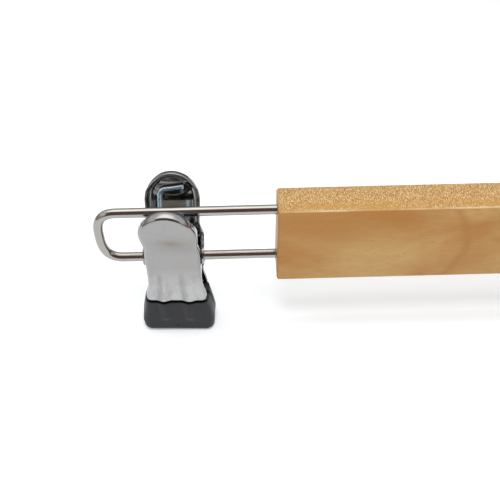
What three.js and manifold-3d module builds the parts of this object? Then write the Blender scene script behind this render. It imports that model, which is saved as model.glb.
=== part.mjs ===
// A wooden skirt and trouser hanger: a flat bar under a swivelling hook, with a bent wire loop in
// each end and a sprung clip sliding on each loop. A clip is two stamped jaws that turn on the loop's
// lower wire, a torsion spring wound round the same wire, and a rubber pad on each jaw.
// Millimetres, +Z up, X along the bar, -Y the front. The origin is where the hook sits on a rail.

import * as THREE from 'three';
import { mergeVertices } from 'three/addons/utils/BufferGeometryUtils.js';
import Module from 'manifold-3d';

const wasm = await Module();
wasm.setup();

// Wooden bar
const barLength = 250;
const barHeight = 28;
const barThickness = 12;
const barEdgeRadius = 0.8;
const barEndEase = 0.6;

// Wire loops, one in each end of the bar, in the bar's middle plane
const wireDiameter = 3;
const upperWireDepth = 3.8; // upper leg's axis below the bar's top
const lowerWireHeight = 6.3; // lower leg's axis above the bar's underside
const loopReach = 56; // from the bar's end to the outermost face of the wire
const loopCornerRadius = 4.5; // on the wire's axis
const wireInset = 26; // length of each leg inside the bar

// Hook, its ferrule on the bar and its washer under the bar
const hookWireDiameter = 4;
const hookInnerRadius = 19;
const hookNeckRadius = 14; // on the wire's axis
const hookTipAngle = 205; // degrees round the bowl, from +X
const neckRise = 3; // straight shank between the collar and the neck's bend
const collarDiameter = 6.6;
const collarHeight = 2;
const ferruleDiameter = 13;
const ferruleHeight = 6;
const ferruleRimHeight = 1.4;
const ferruleRimStep = 0.8; // how far the dome stands in from the rim
const ferruleTopDiameter = 7;
const washerDiameter = 10;
const washerThickness = 1;
const rivetHeadDiameter = 7;
const rivetHeadHeight = 1.8;
const rivetHeadRim = 0.6; // height of the head's straight side
const rivetHeadFlat = 3.6; // diameter of the head's flat end
const counterboreDepth = 5;

// Stamped jaws: widths are half widths to the outside of the side flanges
const sheetThickness = 0.8;
const faceOffset = 5.6; // outer face from the wire plane, at the pivot
const jawLean = 2.4; // degrees, below the bend
const tabLean = 22; // degrees, above the bend
const bendHeight = 8.3; // where the two straight runs would meet, above the pivot
const bendRadius = 12;
const tabHalfWidth = 8.7;
const tabHeadHeight = 9.3; // from the tab's widest place to its top
const tabRise = 8.1; // from the bend to the tab's widest place
const frontEarHalfWidth = 8.4;
const jawEndHalfWidth = 9.85;
const jawDrop = 15.8; // lower edge of the sheet below the pivot
const jawCornerRadius = 1.4;
const flangeDepth = 2.3;
const tabFlangeDepth = 3; // at the top of the tab
const flangeBendRadius = 1.7; // outside of the bend
const earRadius = 3.3;
const earFlank = 2.7; // height over which an ear runs into the flange
const ribHeight = 1;
const ribPlace = 0.57; // share of the flat face's half width
const ribSpread = 0.22; // same share, from a rib's middle to its foot
const ribTop = 1.5; // where the ribs start, below the pivot

// Rubber pads
const padDepth = 14.7; // below the sheet's lower edge
const padCheek = 2.15; // how far a pad stands out past the side flanges
const padTaper = 0.5; // how much narrower the pad's foot is, on each side
const padLedgeGap = 0.6; // between the sheet's lower edge and the top of the block
const padTongue = 6.8; // length of pad behind the sheet
const padShoulder = 6; // height over which the block widens below the sheet's edge
const padFaceOffset = 5.5; // outer face from the wire plane
const padSetBack = 0.3; // how far the face stands back just under the sheet
const padContactHeight = 10.5; // height of the faces that meet, from the pad's foot
const padTopRelief = 1.5; // how far the tongue's inner face stands back from the wire plane
const padCornerRadius = 2;
const padUprightRadius = 2.4; // on the outer upright edges
const padFootRadius = 1.6;
const padToeRadius = 0.5;

// Torsion spring
const springWireDiameter = 1.5;
const coilGap = 0.58; // between neighbouring turns
const fullTurns = 3; // besides the half turn that brings the second leg up
const legRise = 11.9; // from the sheet's bend to the bent end of a leg
const legReach = 7.5; // length of the bent end
const legBendRadius = 2;
const legEndTilt = 8; // degrees by which the bent end climbs

// Clips
const clipFromLoopEnd = 23.75; // clip's middle from the outermost face of the loop

// Fits
const pressClearance = 0.25; // round the loop's legs in the bar
const runningClearance = 0.3; // round a wire that something turns on
const coilClearance = 0.6; // between the spring's coil and the wire inside it
const seatGap = 0.3; // between pieces that rest against each other

const wireSides = 12;
const roundSides = 24;
const cornerSteps = 6;
const bowlSteps = 26;
const springSides = 5;
const stepsPerTurn = 8;
const legBendSteps = 4;
const padArcSteps = 4;

const wood = new THREE.MeshStandardMaterial({ color: 0xc79a5f, roughness: 0.55, metalness: 0 });
const nickelWire = new THREE.MeshStandardMaterial({ color: 0xc2beb9, roughness: 0.28, metalness: 1 });
const chromeSheet = new THREE.MeshStandardMaterial({ color: 0xb9b9bb, roughness: 0.32, metalness: 1 });
const zincSpring = new THREE.MeshStandardMaterial({ color: 0x9fb3c0, roughness: 0.36, metalness: 1 });
const blackRubber = new THREE.MeshStandardMaterial({ color: 0x3a3a3c, roughness: 0.62, metalness: 0 });

const radians = THREE.MathUtils.degToRad;
const mix = THREE.MathUtils.lerp;
const wireRadius = wireDiameter / 2;
const springRadius = springWireDiameter / 2;
const hookRadius = hookWireDiameter / 2;

// Closed geometry to a solid for joining and cutting, and back

function welded(geometry) {
  const bare = geometry.clone();
  bare.deleteAttribute('normal');
  bare.deleteAttribute('uv');
  return mergeVertices(bare);
}

function solidOf(geometry) {
  const shell = welded(geometry);
  const vertProperties = new Float32Array(shell.attributes.position.array);
  const triVerts = new Uint32Array(shell.index.array);
  return new wasm.Manifold(new wasm.Mesh({ numProp: 3, vertProperties, triVerts }));
}

function geometryOf(solid) {
  const mesh = solid.getMesh();
  const geometry = new THREE.BufferGeometry();
  geometry.setAttribute('position', new THREE.BufferAttribute(mesh.vertProperties, 3));
  geometry.setIndex(new THREE.BufferAttribute(mesh.triVerts, 1));
  geometry.computeVertexNormals();
  return geometry;
}

function joined(...geometries) {
  return geometryOf(geometries.map(solidOf).reduce((sum, next) => sum.add(next)));
}

function cut(geometry, ...tools) {
  return geometryOf(tools.map(solidOf).reduce((rest, tool) => rest.subtract(tool), solidOf(geometry)));
}

function common(...geometries) {
  return geometryOf(geometries.map(solidOf).reduce((rest, next) => rest.intersect(next)));
}

// Basic forms

function rodAlongX(radius, fromX, toX, z) {
  const geometry = new THREE.CylinderGeometry(radius, radius, toX - fromX, roundSides);
  return geometry.rotateZ(Math.PI / 2).translate((fromX + toX) / 2, 0, z);
}

function rodAlongZ(radius, fromZ, toZ) {
  const geometry = new THREE.CylinderGeometry(radius, radius, toZ - fromZ, roundSides);
  return geometry.rotateX(Math.PI / 2).translate(0, 0, (fromZ + toZ) / 2);
}

// A profile of [radius, height] pairs turned about Z
function turned(profile, sides = roundSides) {
  const points = profile.map(([radius, height]) => new THREE.Vector2(radius, height));
  return new THREE.LatheGeometry(points, sides).rotateX(Math.PI / 2);
}

// A shape drawn in Y and Z, extruded along X about the middle plane
function extrudedAlongX(shape, length, options = {}) {
  const geometry = new THREE.ExtrudeGeometry(shape, { depth: length, bevelEnabled: false, ...options });
  const axes = new THREE.Matrix4().makeBasis(
    new THREE.Vector3(0, 1, 0),
    new THREE.Vector3(0, 0, 1),
    new THREE.Vector3(1, 0, 0),
  );
  return geometry.translate(0, 0, -length / 2).applyMatrix4(axes);
}

// A path through given points, with one step of the extrusion from each point to the next
class SteppedPath extends THREE.Curve {
  constructor(points) {
    super();
    this.points = points;
    this.steps = points.length - 1;
  }

  getPointAt(share, target = new THREE.Vector3()) {
    return target.copy(this.points[Math.round(share * this.steps)]);
  }

  getTangentAt(share, target = new THREE.Vector3()) {
    const index = Math.round(share * this.steps);
    const here = this.points[index];
    const before = this.points[Math.max(index - 1, 0)];
    const after = this.points[Math.min(index + 1, this.steps)];
    const arriving = here.clone().sub(before).normalize();
    const leaving = after.clone().sub(here).normalize();
    return target.copy(arriving).add(leaving).normalize();
  }
}

function wireAlong(points, radius, sides) {
  const corners = [];
  for (let side = 0; side < sides; side += 1) {
    const angle = (2 * Math.PI * side) / sides;
    corners.push(new THREE.Vector2(radius * Math.cos(angle), radius * Math.sin(angle)));
  }
  const extrudePath = new SteppedPath(points);
  return new THREE.ExtrudeGeometry(new THREE.Shape(corners), { steps: extrudePath.steps, extrudePath });
}

// Points on an arc in the XZ plane, angles in radians from +X towards +Z
function arcPoints(centreX, centreZ, radius, fromAngle, toAngle, steps) {
  const points = [];
  for (let step = 0; step <= steps; step += 1) {
    const angle = mix(fromAngle, toAngle, step / steps);
    const x = centreX + radius * Math.cos(angle);
    const z = centreZ + radius * Math.sin(angle);
    points.push(new THREE.Vector3(x, 0, z));
  }
  return points;
}

// Heights in the hanger's frame, worked down from the rail seat

const bowlRadius = hookInnerRadius + hookRadius;
const neckAngle = Math.acos(hookNeckRadius / (hookNeckRadius + bowlRadius));
const bowlCentreZ = -hookInnerRadius;
const neckStartZ = bowlCentreZ - (hookNeckRadius + bowlRadius) * Math.sin(neckAngle);
const collarBottomZ = neckStartZ - neckRise - collarHeight;
const ferruleTopZ = collarBottomZ - seatGap;
const barTopZ = ferruleTopZ - ferruleHeight - seatGap;
const barBottomZ = barTopZ - barHeight;
const upperWireZ = barTopZ - upperWireDepth;
const lowerWireZ = barBottomZ + lowerWireHeight;
const counterboreTopZ = barBottomZ + counterboreDepth;
const washerTopZ = counterboreTopZ - seatGap;
const rivetHeadTopZ = washerTopZ - washerThickness - seatGap;
const barEndX = barLength / 2;

function makeHook() {
  const neck = arcPoints(
    hookNeckRadius, neckStartZ, hookNeckRadius, Math.PI, Math.PI - neckAngle, cornerSteps);
  const bowl = arcPoints(0, bowlCentreZ, bowlRadius, -neckAngle, radians(hookTipAngle), bowlSteps);
  const foot = new THREE.Vector3(0, 0, rivetHeadTopZ - rivetHeadHeight / 2);
  const tip = bowl[bowl.length - 1];
  const wire = wireAlong([foot, ...neck, ...bowl.slice(1)], hookRadius, wireSides);
  const tipBall = new THREE.SphereGeometry(hookRadius, wireSides, wireSides / 2);
  tipBall.translate(tip.x, tip.y, tip.z);
  const collarBead = collarHeight / 4;
  const collar = turned([
    [0, 0],
    [collarDiameter / 2 - collarBead, 0],
    [collarDiameter / 2, collarBead],
    [collarDiameter / 2, collarHeight - collarBead],
    [collarDiameter / 2 - collarBead, collarHeight],
    [0, collarHeight],
  ]).translate(0, 0, collarBottomZ);
  const rivetHead = turned([
    [0, -rivetHeadHeight],
    [rivetHeadFlat / 2, -rivetHeadHeight],
    [rivetHeadDiameter / 2, -rivetHeadRim],
    [rivetHeadDiameter / 2, 0],
    [0, 0],
  ]).translate(0, 0, rivetHeadTopZ);
  return joined(wire, tipBall, collar, rivetHead);
}

function makeFerrule() {
  const bore = hookRadius + runningClearance;
  const outer = ferruleDiameter / 2;
  const top = ferruleTopDiameter / 2;
  const dome = [];
  for (let step = 0; step <= cornerSteps; step += 1) {
    const angle = (Math.PI / 2) * (step / cornerSteps);
    const radius = mix(top, outer - ferruleRimStep, Math.cos(angle));
    dome.push([radius, mix(ferruleRimHeight, ferruleHeight, Math.sin(angle))]);
  }
  const rim = [[bore, 0], [outer, 0], [outer, ferruleRimHeight]];
  const insideTop = [bore, ferruleHeight];
  return turned([...rim, ...dome, insideTop, [bore, 0]]).translate(0, 0, barTopZ + seatGap);
}

function makeWasher() {
  const bore = hookRadius + runningClearance;
  return turned([
    [bore, -washerThickness],
    [washerDiameter / 2, -washerThickness],
    [washerDiameter / 2, 0],
    [bore, 0],
    [bore, -washerThickness],
  ]).translate(0, 0, washerTopZ);
}

function makeBar() {
  const halfThickness = barThickness / 2;
  const halfHeight = barHeight / 2;
  const edge = barEdgeRadius;
  const section = new THREE.Shape();
  section.moveTo(-halfThickness + edge, -halfHeight);
  section.lineTo(halfThickness - edge, -halfHeight);
  section.absarc(halfThickness - edge, -halfHeight + edge, edge, -Math.PI / 2, 0);
  section.lineTo(halfThickness, halfHeight - edge);
  section.absarc(halfThickness - edge, halfHeight - edge, edge, 0, Math.PI / 2);
  section.lineTo(-halfThickness + edge, halfHeight);
  section.absarc(-halfThickness + edge, halfHeight - edge, edge, Math.PI / 2, Math.PI);
  section.lineTo(-halfThickness, -halfHeight + edge);
  section.absarc(-halfThickness + edge, -halfHeight + edge, edge, Math.PI, Math.PI * 1.5);
  const blank = extrudedAlongX(section, barLength - 2 * barEndEase, {
    curveSegments: 2,
    bevelEnabled: true,
    bevelThickness: barEndEase,
    bevelSize: barEndEase,
    bevelOffset: -barEndEase,
    bevelSegments: 2,
  }).translate(0, 0, (barTopZ + barBottomZ) / 2);

  const overrun = 1;
  const holeEndX = barEndX - wireInset - seatGap;
  const legRadius = wireRadius + pressClearance;
  const holes = [];
  for (const z of [upperWireZ, lowerWireZ]) {
    holes.push(rodAlongX(legRadius, -barEndX - overrun, -holeEndX, z));
    holes.push(rodAlongX(legRadius, holeEndX, barEndX + overrun, z));
  }
  const underBar = barBottomZ - overrun;
  const shankHole = rodAlongZ(hookRadius + runningClearance, underBar, barTopZ + overrun);
  const counterbore = rodAlongZ(washerDiameter / 2 + runningClearance, underBar, counterboreTopZ);
  return cut(blank, ...holes, shankHole, counterbore);
}

// The left loop: in from the bar along the top, round two corners and back along the bottom
function makeLoop() {
  const outerX = -barEndX - loopReach + wireRadius;
  const cornerX = outerX + loopCornerRadius;
  const insetX = -barEndX + wireInset;
  const upperCorner = arcPoints(
    cornerX, upperWireZ - loopCornerRadius, loopCornerRadius, Math.PI / 2, Math.PI, cornerSteps);
  const lowerCorner = arcPoints(
    cornerX, lowerWireZ + loopCornerRadius, loopCornerRadius, Math.PI, Math.PI * 1.5, cornerSteps);
  const legStart = new THREE.Vector3(insetX, 0, upperWireZ);
  const legEnd = new THREE.Vector3(insetX, 0, lowerWireZ);
  return wireAlong([legStart, ...upperCorner, ...lowerCorner, legEnd], wireRadius, wireSides);
}

// The clip, in its own frame: the pivot along X through the origin, the front jaw towards -Y

const lowerLean = radians(jawLean);
const upperLean = radians(tabLean);
const bendTangent = bendRadius * Math.tan((upperLean - lowerLean) / 2);
const bendStart = bendHeight / Math.cos(lowerLean) - bendTangent;
const bendEnd = bendStart + bendRadius * (upperLean - lowerLean);
const bendMiddle = (bendStart + bendEnd) / 2;
const tabCentre = bendMiddle + tabRise;
const sheetFoot = -jawDrop / Math.cos(lowerLean);

// The sheet's outer face from the side, at a distance along the sheet above the pivot
function sheetAt(distance) {
  const straight = Math.min(distance, bendStart);
  let outward = faceOffset + straight * Math.sin(lowerLean);
  let height = straight * Math.cos(lowerLean);
  let lean = lowerLean;
  if (distance > bendStart) {
    lean = Math.min(lowerLean + (distance - bendStart) / bendRadius, upperLean);
    outward += bendRadius * (Math.cos(lowerLean) - Math.cos(lean));
    height += bendRadius * (Math.sin(lean) - Math.sin(lowerLean));
  }
  if (distance > bendEnd) {
    outward += (distance - bendEnd) * Math.sin(lean);
    height += (distance - bendEnd) * Math.cos(lean);
  }
  return { outward, height, lean };
}

// A place on the front jaw: across, along the sheet, and inward from its outer face
function onFrontSheet(across, along, inward) {
  const { outward, height, lean } = sheetAt(along);
  return new THREE.Vector3(across, -outward + inward * Math.cos(lean), height + inward * Math.sin(lean));
}

function jawHalfWidth(along, earHalfWidth) {
  const earEnd = earRadius + earFlank;
  if (along >= earEnd) {
    return mix(earHalfWidth, tabHalfWidth, THREE.MathUtils.smoothstep(along, earEnd, tabCentre));
  }
  return mix(earHalfWidth, jawEndHalfWidth, THREE.MathUtils.smoothstep(-along, earEnd, -sheetFoot));
}

// How deep the side flange is: a plain lip that grows into a round ear at the pivot
function flangeDepthAt(along) {
  const away = Math.abs(along);
  const earCentre = sheetAt(along).outward;
  if (away <= earRadius) {
    return earCentre + Math.sqrt(earRadius * earRadius - away * away);
  }
  const flank = THREE.MathUtils.smoothstep(away, earRadius, earRadius + earFlank);
  return mix(earCentre, flangeDepth, flank);
}

function ribLift(along, share) {
  const fromRib = Math.abs(Math.abs(share) - ribPlace) / ribSpread;
  if (fromRib >= 1) {
    return 0;
  }
  const fade = THREE.MathUtils.smoothstep(-along, ribTop, -sheetFoot);
  return ribHeight * fade * (0.5 + 0.5 * Math.cos(Math.PI * fromRib));
}

// Half of a jaw's outline, from the top of the tab down one side, with the inward direction at each place
function jawOutline(earHalfWidth) {
  const outline = [];
  const headSteps = 7;
  for (let step = 0; step < headSteps; step += 1) {
    const angle = (Math.PI / 2) * (1 - step / headSteps);
    const across = Math.cos(angle);
    const up = Math.sin(angle);
    const outward = new THREE.Vector2(across / tabHalfWidth, up / tabHeadHeight).normalize();
    outline.push({
      x: tabHalfWidth * across,
      along: tabCentre + tabHeadHeight * up,
      inX: -outward.x,
      inAlong: -outward.y,
      depth: mix(flangeDepth, tabFlangeDepth, up * up),
    });
  }
  const earEnd = earRadius + earFlank;
  const belowTab = (tabCentre + bendMiddle) / 2;
  const sideStations = [tabCentre, belowTab, bendMiddle, earEnd, earRadius + earFlank / 2];
  const earAngles = [90, 45, 0, -45, -90];
  sideStations.push(...earAngles.map((angle) => earRadius * Math.sin(radians(angle))));
  sideStations.push(-earRadius - earFlank / 2, -earEnd);
  const lowerSteps = 4;
  for (let step = 1; step <= lowerSteps; step += 1) {
    sideStations.push(mix(-earEnd, sheetFoot, step / lowerSteps));
  }
  const nudge = 0.01;
  for (const along of sideStations) {
    const above = jawHalfWidth(along + nudge, earHalfWidth);
    const below = jawHalfWidth(along - nudge, earHalfWidth);
    const slope = (above - below) / (2 * nudge);
    const length = Math.hypot(1, slope);
    outline.push({
      x: jawHalfWidth(along, earHalfWidth),
      along,
      inX: -1 / length,
      inAlong: slope / length,
      depth: flangeDepthAt(along),
    });
  }
  return outline;
}

const ribShares = [-1, -0.5, 0, 0.5, 1].map((share) => ribPlace + ribSpread * share);
const faceShares = [0, ...ribShares, 1];
const halfBend = Math.SQRT1_2;

// One row across the sheet at an outline place, on the outer skin or, with a thickness, on the inner one
function sheetRow(place, thickness) {
  const radius = flangeBendRadius - thickness;
  const edgeX = place.x + thickness * place.inX;
  const edgeAlong = place.along + thickness * place.inAlong;
  const at = (inset, inward) => ({
    x: Math.max(edgeX + inset * place.inX, 0),
    along: edgeAlong + inset * place.inAlong,
    inward,
  });
  const side = [
    at(0, place.depth),
    at(0, flangeBendRadius),
    at(radius * (1 - halfBend), flangeBendRadius - radius * halfBend),
  ];
  const flatEnd = at(radius, thickness);
  const half = side.map(({ x, along, inward }) => onFrontSheet(x, along, inward));
  for (const share of [...faceShares].reverse()) {
    const lift = ribLift(flatEnd.along, share);
    half.push(onFrontSheet(flatEnd.x * share, flatEnd.along, thickness - lift));
  }
  const mirrored = half.slice(0, -1).map((point) => point.clone().setX(-point.x));
  return [...half, ...mirrored.reverse()];
}

// Joins an outer and an inner skin, both as rows of points, into one closed sheet
function closedSheet(outerRows, innerRows) {
  const columns = outerRows[0].length;
  const lastRow = outerRows.length - 1;
  const innerStart = outerRows.length * columns;
  const points = [...outerRows.flat(), ...innerRows.flat()];
  const outer = (row, column) => row * columns + column;
  const inner = (row, column) => innerStart + row * columns + column;
  const index = [];
  const quad = (a, b, c, d) => index.push(a, b, c, a, c, d);
  for (let row = 0; row < lastRow; row += 1) {
    for (let column = 0; column < columns - 1; column += 1) {
      const next = column + 1;
      quad(outer(row, column), outer(row, next), outer(row + 1, next), outer(row + 1, column));
      quad(inner(row, column), inner(row + 1, column), inner(row + 1, next), inner(row, next));
    }
    quad(outer(row, 0), outer(row + 1, 0), inner(row + 1, 0), inner(row, 0));
    const end = columns - 1;
    quad(outer(row, end), inner(row, end), inner(row + 1, end), outer(row + 1, end));
  }
  for (let column = 0; column < columns - 1; column += 1) {
    const next = column + 1;
    quad(outer(lastRow, column), outer(lastRow, next), inner(lastRow, next), inner(lastRow, column));
  }
  const geometry = new THREE.BufferGeometry().setFromPoints(points);
  geometry.setIndex(index);
  const shell = mergeVertices(geometry);
  const kept = [];
  const corners = shell.index.array;
  for (let first = 0; first < corners.length; first += 3) {
    const [a, b, c] = corners.slice(first, first + 3);
    if (a !== b && b !== c && c !== a) {
      kept.push(a, b, c);
    }
  }
  shell.setIndex(kept);
  return shell;
}

function makeJaw(earHalfWidth) {
  const outline = jawOutline(earHalfWidth);
  const sheet = closedSheet(
    outline.map((place) => sheetRow(place, 0)),
    outline.map((place) => sheetRow(place, sheetThickness)),
  );
  const holeReach = earHalfWidth + sheetThickness;
  const pivotHole = rodAlongX(wireRadius + runningClearance, -holeReach, holeReach, 0);
  return cut(sheet, pivotHole, jawCorner(1), jawCorner(-1));
}

// What comes off a lower corner of a jaw to round it, on the side of the given sign
function jawCorner(sign) {
  const outside = jawEndHalfWidth + jawCornerRadius;
  const inside = jawEndHalfWidth - jawCornerRadius;
  const arcCentre = -jawDrop + jawCornerRadius;
  const waste = new THREE.Shape();
  waste.moveTo(inside, -jawDrop - jawCornerRadius);
  waste.lineTo(outside, -jawDrop - jawCornerRadius);
  waste.lineTo(outside, arcCentre);
  waste.lineTo(jawEndHalfWidth, arcCentre);
  waste.absarc(inside, arcCentre, jawCornerRadius, 0, -Math.PI / 2, true);
  const depth = 2 * faceOffset;
  const tool = new THREE.ExtrudeGeometry(waste, { depth, curveSegments: cornerSteps, bevelEnabled: false });
  tool.translate(0, 0, -depth / 2).rotateX(Math.PI / 2);
  return sign > 0 ? tool : tool.rotateZ(Math.PI);
}

// The front pad: a block below the sheet's edge, set back a little just under it, with a tongue that
// runs up behind the sheet. It is what its outlines from the side, the front and above have in common.
function makePad() {
  const edge = -jawDrop - padLedgeGap;
  const foot = -jawDrop - padDepth;
  const top = -jawDrop + padTongue;
  const contactTop = foot + padContactHeight;
  const innerFace = -seatGap / 2;
  const tongueFace = sheetThickness + seatGap - sheetAt(sheetFoot).outward;

  const side = new THREE.Shape();
  side.moveTo(innerFace - padToeRadius, foot);
  side.quadraticCurveTo(innerFace, foot, innerFace, foot + padToeRadius);
  side.lineTo(innerFace, contactTop);
  side.lineTo(innerFace - padTopRelief, top);
  side.lineTo(tongueFace, top);
  side.lineTo(tongueFace, edge);
  side.lineTo(-padFaceOffset + padSetBack, edge);
  side.quadraticCurveTo(-padFaceOffset, edge - padSetBack, -padFaceOffset, edge - padShoulder);
  side.lineTo(-padFaceOffset, foot + padFootRadius);
  side.absarc(-padFaceOffset + padFootRadius, foot + padFootRadius, padFootRadius, Math.PI, Math.PI * 1.5);

  const halfWidth = jawEndHalfWidth + padCheek;
  const footX = halfWidth - padTaper;
  const shoulderX = jawEndHalfWidth + seatGap;
  const tongueX = frontEarHalfWidth - sheetThickness - seatGap;
  const corner = padCornerRadius;
  const rightHalf = new THREE.Path();
  rightHalf.moveTo(0, foot);
  rightHalf.lineTo(footX - corner, foot);
  rightHalf.absarc(footX - corner, foot + corner, corner, -Math.PI / 2, 0);
  rightHalf.lineTo(halfWidth, edge - padShoulder);
  rightHalf.quadraticCurveTo(halfWidth, edge - padShoulder / 2, shoulderX, edge);
  rightHalf.lineTo(tongueX, edge);
  rightHalf.lineTo(tongueX, top);
  const rightPoints = rightHalf.getPoints(padArcSteps).slice(1);
  const leftPoints = rightPoints.map((point) => new THREE.Vector2(-point.x, point.y)).reverse();
  const front = new THREE.Shape([...rightPoints, ...leftPoints]);

  const upright = padUprightRadius;
  const plan = new THREE.Shape();
  plan.moveTo(-halfWidth, 0);
  plan.lineTo(-halfWidth, -padFaceOffset + upright);
  plan.absarc(-halfWidth + upright, -padFaceOffset + upright, upright, Math.PI, Math.PI * 1.5);
  plan.lineTo(halfWidth - upright, -padFaceOffset);
  plan.absarc(halfWidth - upright, -padFaceOffset + upright, upright, -Math.PI / 2, 0);
  plan.lineTo(halfWidth, 0);

  const depth = 2 * padFaceOffset;
  const fromSide = extrudedAlongX(side, 2 * halfWidth, { curveSegments: padArcSteps });
  const fromFront = new THREE.ExtrudeGeometry(front, { depth, bevelEnabled: false });
  fromFront.translate(0, 0, -depth / 2).rotateX(Math.PI / 2);
  const fromAbove = new THREE.ExtrudeGeometry(plan, {
    depth: top - foot,
    curveSegments: padArcSteps,
    bevelEnabled: false,
  }).translate(0, 0, foot);
  return common(fromSide, fromFront, fromAbove);
}

// The spring's wire, from the bent end of the back leg, down the leg, round the coil and up the front leg.
// A half turn about Z carries it onto itself.
function springRoute() {
  const coilRadius = wireRadius + coilClearance + springRadius;
  const legInset = sheetThickness + seatGap + springRadius;
  const legTop = bendMiddle + legRise;
  const halfTurn = (point) => new THREE.Vector3(-point.x, -point.y, point.z);
  const onBackSheet = (across, along) => halfTurn(onFrontSheet(-across, along, legInset));

  const knee = onBackSheet(0, bendMiddle);
  const legLean = Math.acos(coilRadius / Math.hypot(knee.y, knee.z)) - Math.atan2(knee.z, knee.y);
  const sweep = Math.PI * (2 * fullTurns + 1) - 2 * legLean;
  const legX = ((springWireDiameter + coilGap) * sweep) / (4 * Math.PI);

  const tilt = radians(legEndTilt);
  const bendAcross = -legX + legBendRadius;
  const bendAlong = legTop - legBendRadius;
  const bentAngle = Math.PI / 2 + tilt;
  const bent = [];
  for (let step = 0; step <= legBendSteps; step += 1) {
    const angle = mix(bentAngle, Math.PI, step / legBendSteps);
    bent.push([bendAcross + legBendRadius * Math.cos(angle), bendAlong + legBendRadius * Math.sin(angle)]);
  }
  const straight = legReach - legBendRadius;
  const end = [bent[0][0] + straight * Math.cos(tilt), bent[0][1] + straight * Math.sin(tilt)];
  const backLeg = [end, ...bent].map(([across, along]) => onBackSheet(across, along));
  backLeg.push(onBackSheet(-legX, bendEnd), onBackSheet(-legX, bendMiddle));

  const coil = [];
  const coilSteps = Math.round((stepsPerTurn * sweep) / (2 * Math.PI));
  for (let step = 0; step <= coilSteps; step += 1) {
    const share = step / coilSteps;
    const angle = -legLean - sweep * share;
    const across = mix(-legX, legX, share);
    coil.push(new THREE.Vector3(across, coilRadius * Math.cos(angle), coilRadius * Math.sin(angle)));
  }
  return [...backLeg, ...coil, ...backLeg.map(halfTurn).reverse()];
}

// The least distance between the surfaces of stretches of a wire that aren't next to each other
function leastGap(route, diameter) {
  const samplesPerDiameter = 6;
  const spacing = diameter / samplesPerDiameter;
  const neighbourReach = 3 * diameter;
  const samples = [];
  let travelled = 0;
  for (let index = 1; index < route.length; index += 1) {
    const from = route[index - 1];
    const length = from.distanceTo(route[index]);
    const count = Math.ceil(length / spacing);
    for (let step = 0; step < count; step += 1) {
      const point = from.clone().lerp(route[index], step / count);
      samples.push({ point, travelled: travelled + (length * step) / count });
    }
    travelled += length;
  }
  let least = Infinity;
  for (const one of samples) {
    for (const other of samples) {
      if (other.travelled - one.travelled > neighbourReach) {
        least = Math.min(least, one.point.distanceTo(other.point) - diameter);
      }
    }
  }
  return least;
}

const hanger = new THREE.Group();

function addPiece(parent, name, geometry, material) {
  const piece = new THREE.Mesh(geometry, material);
  piece.name = name;
  parent.add(piece);
  return piece;
}

addPiece(hanger, 'hook', makeHook(), nickelWire);
addPiece(hanger, 'hook_ferrule', makeFerrule(), chromeSheet);
addPiece(hanger, 'hook_washer', makeWasher(), nickelWire);
addPiece(hanger, 'wooden_bar', makeBar(), wood);

const loop = makeLoop();
addPiece(hanger, 'left_wire_loop', loop, nickelWire);
addPiece(hanger, 'right_wire_loop', loop, nickelWire).rotation.z = Math.PI;

// The back jaw's ears stand outside the front jaw's
const backEarHalfWidth = frontEarHalfWidth + seatGap + sheetThickness;
const frontJaw = makeJaw(frontEarHalfWidth);
const backJaw = makeJaw(backEarHalfWidth);
const pad = makePad();
const route = springRoute();
const spring = wireAlong(route, springRadius, springSides);
const turnGap = leastGap(route, springWireDiameter);
console.log(`least gap between turns of the spring: ${turnGap.toFixed(2)} mm`);

const clipX = barEndX + loopReach - clipFromLoopEnd;
for (const [side, x] of [['left', -clipX], ['right', clipX]]) {
  const clip = new THREE.Group();
  clip.position.set(x, 0, lowerWireZ);
  addPiece(clip, `${side}_front_jaw`, frontJaw, chromeSheet);
  addPiece(clip, `${side}_back_jaw`, backJaw, chromeSheet).rotation.z = Math.PI;
  addPiece(clip, `${side}_front_pad`, pad, blackRubber);
  addPiece(clip, `${side}_back_pad`, pad, blackRubber).rotation.z = Math.PI;
  addPiece(clip, `${side}_spring`, spring, zincSpring);
  hanger.add(clip);
}

export default hanger;
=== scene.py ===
# Wooden skirt hanger with wire loops and sprung clips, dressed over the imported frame.
import math

import bmesh
import bpy
from mathutils import Matrix, Vector


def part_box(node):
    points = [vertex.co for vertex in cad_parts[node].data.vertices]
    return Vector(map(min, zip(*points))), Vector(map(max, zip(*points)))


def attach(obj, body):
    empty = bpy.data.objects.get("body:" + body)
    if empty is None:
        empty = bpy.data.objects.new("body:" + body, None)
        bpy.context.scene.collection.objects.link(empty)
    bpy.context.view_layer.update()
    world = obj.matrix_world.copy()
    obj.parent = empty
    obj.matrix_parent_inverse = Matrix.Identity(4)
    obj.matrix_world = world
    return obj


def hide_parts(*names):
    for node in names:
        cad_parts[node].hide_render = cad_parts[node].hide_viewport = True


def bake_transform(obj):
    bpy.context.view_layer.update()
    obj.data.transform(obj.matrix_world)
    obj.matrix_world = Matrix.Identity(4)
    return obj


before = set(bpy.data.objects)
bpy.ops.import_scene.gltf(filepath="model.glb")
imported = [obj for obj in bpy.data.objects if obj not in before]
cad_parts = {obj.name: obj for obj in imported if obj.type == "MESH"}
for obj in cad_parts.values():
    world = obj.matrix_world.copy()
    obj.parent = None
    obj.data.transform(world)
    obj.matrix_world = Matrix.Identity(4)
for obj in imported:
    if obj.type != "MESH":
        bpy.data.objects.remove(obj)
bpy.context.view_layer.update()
scene = bpy.context.scene
mm = 0.001
white = (1.0, 1.0, 1.0)
print("frame loaded:", len(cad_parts), "nodes")


def boxInMm(node):
    low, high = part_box(node)
    return low / mm, high / mm


def mix(first, second, share):
    return first + (second - first) * share


def smoothStep(value, low, high):
    share = min(max((value - low) / (high - low), 0.0), 1.0)
    return share * share * (3 - 2 * share)


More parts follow.
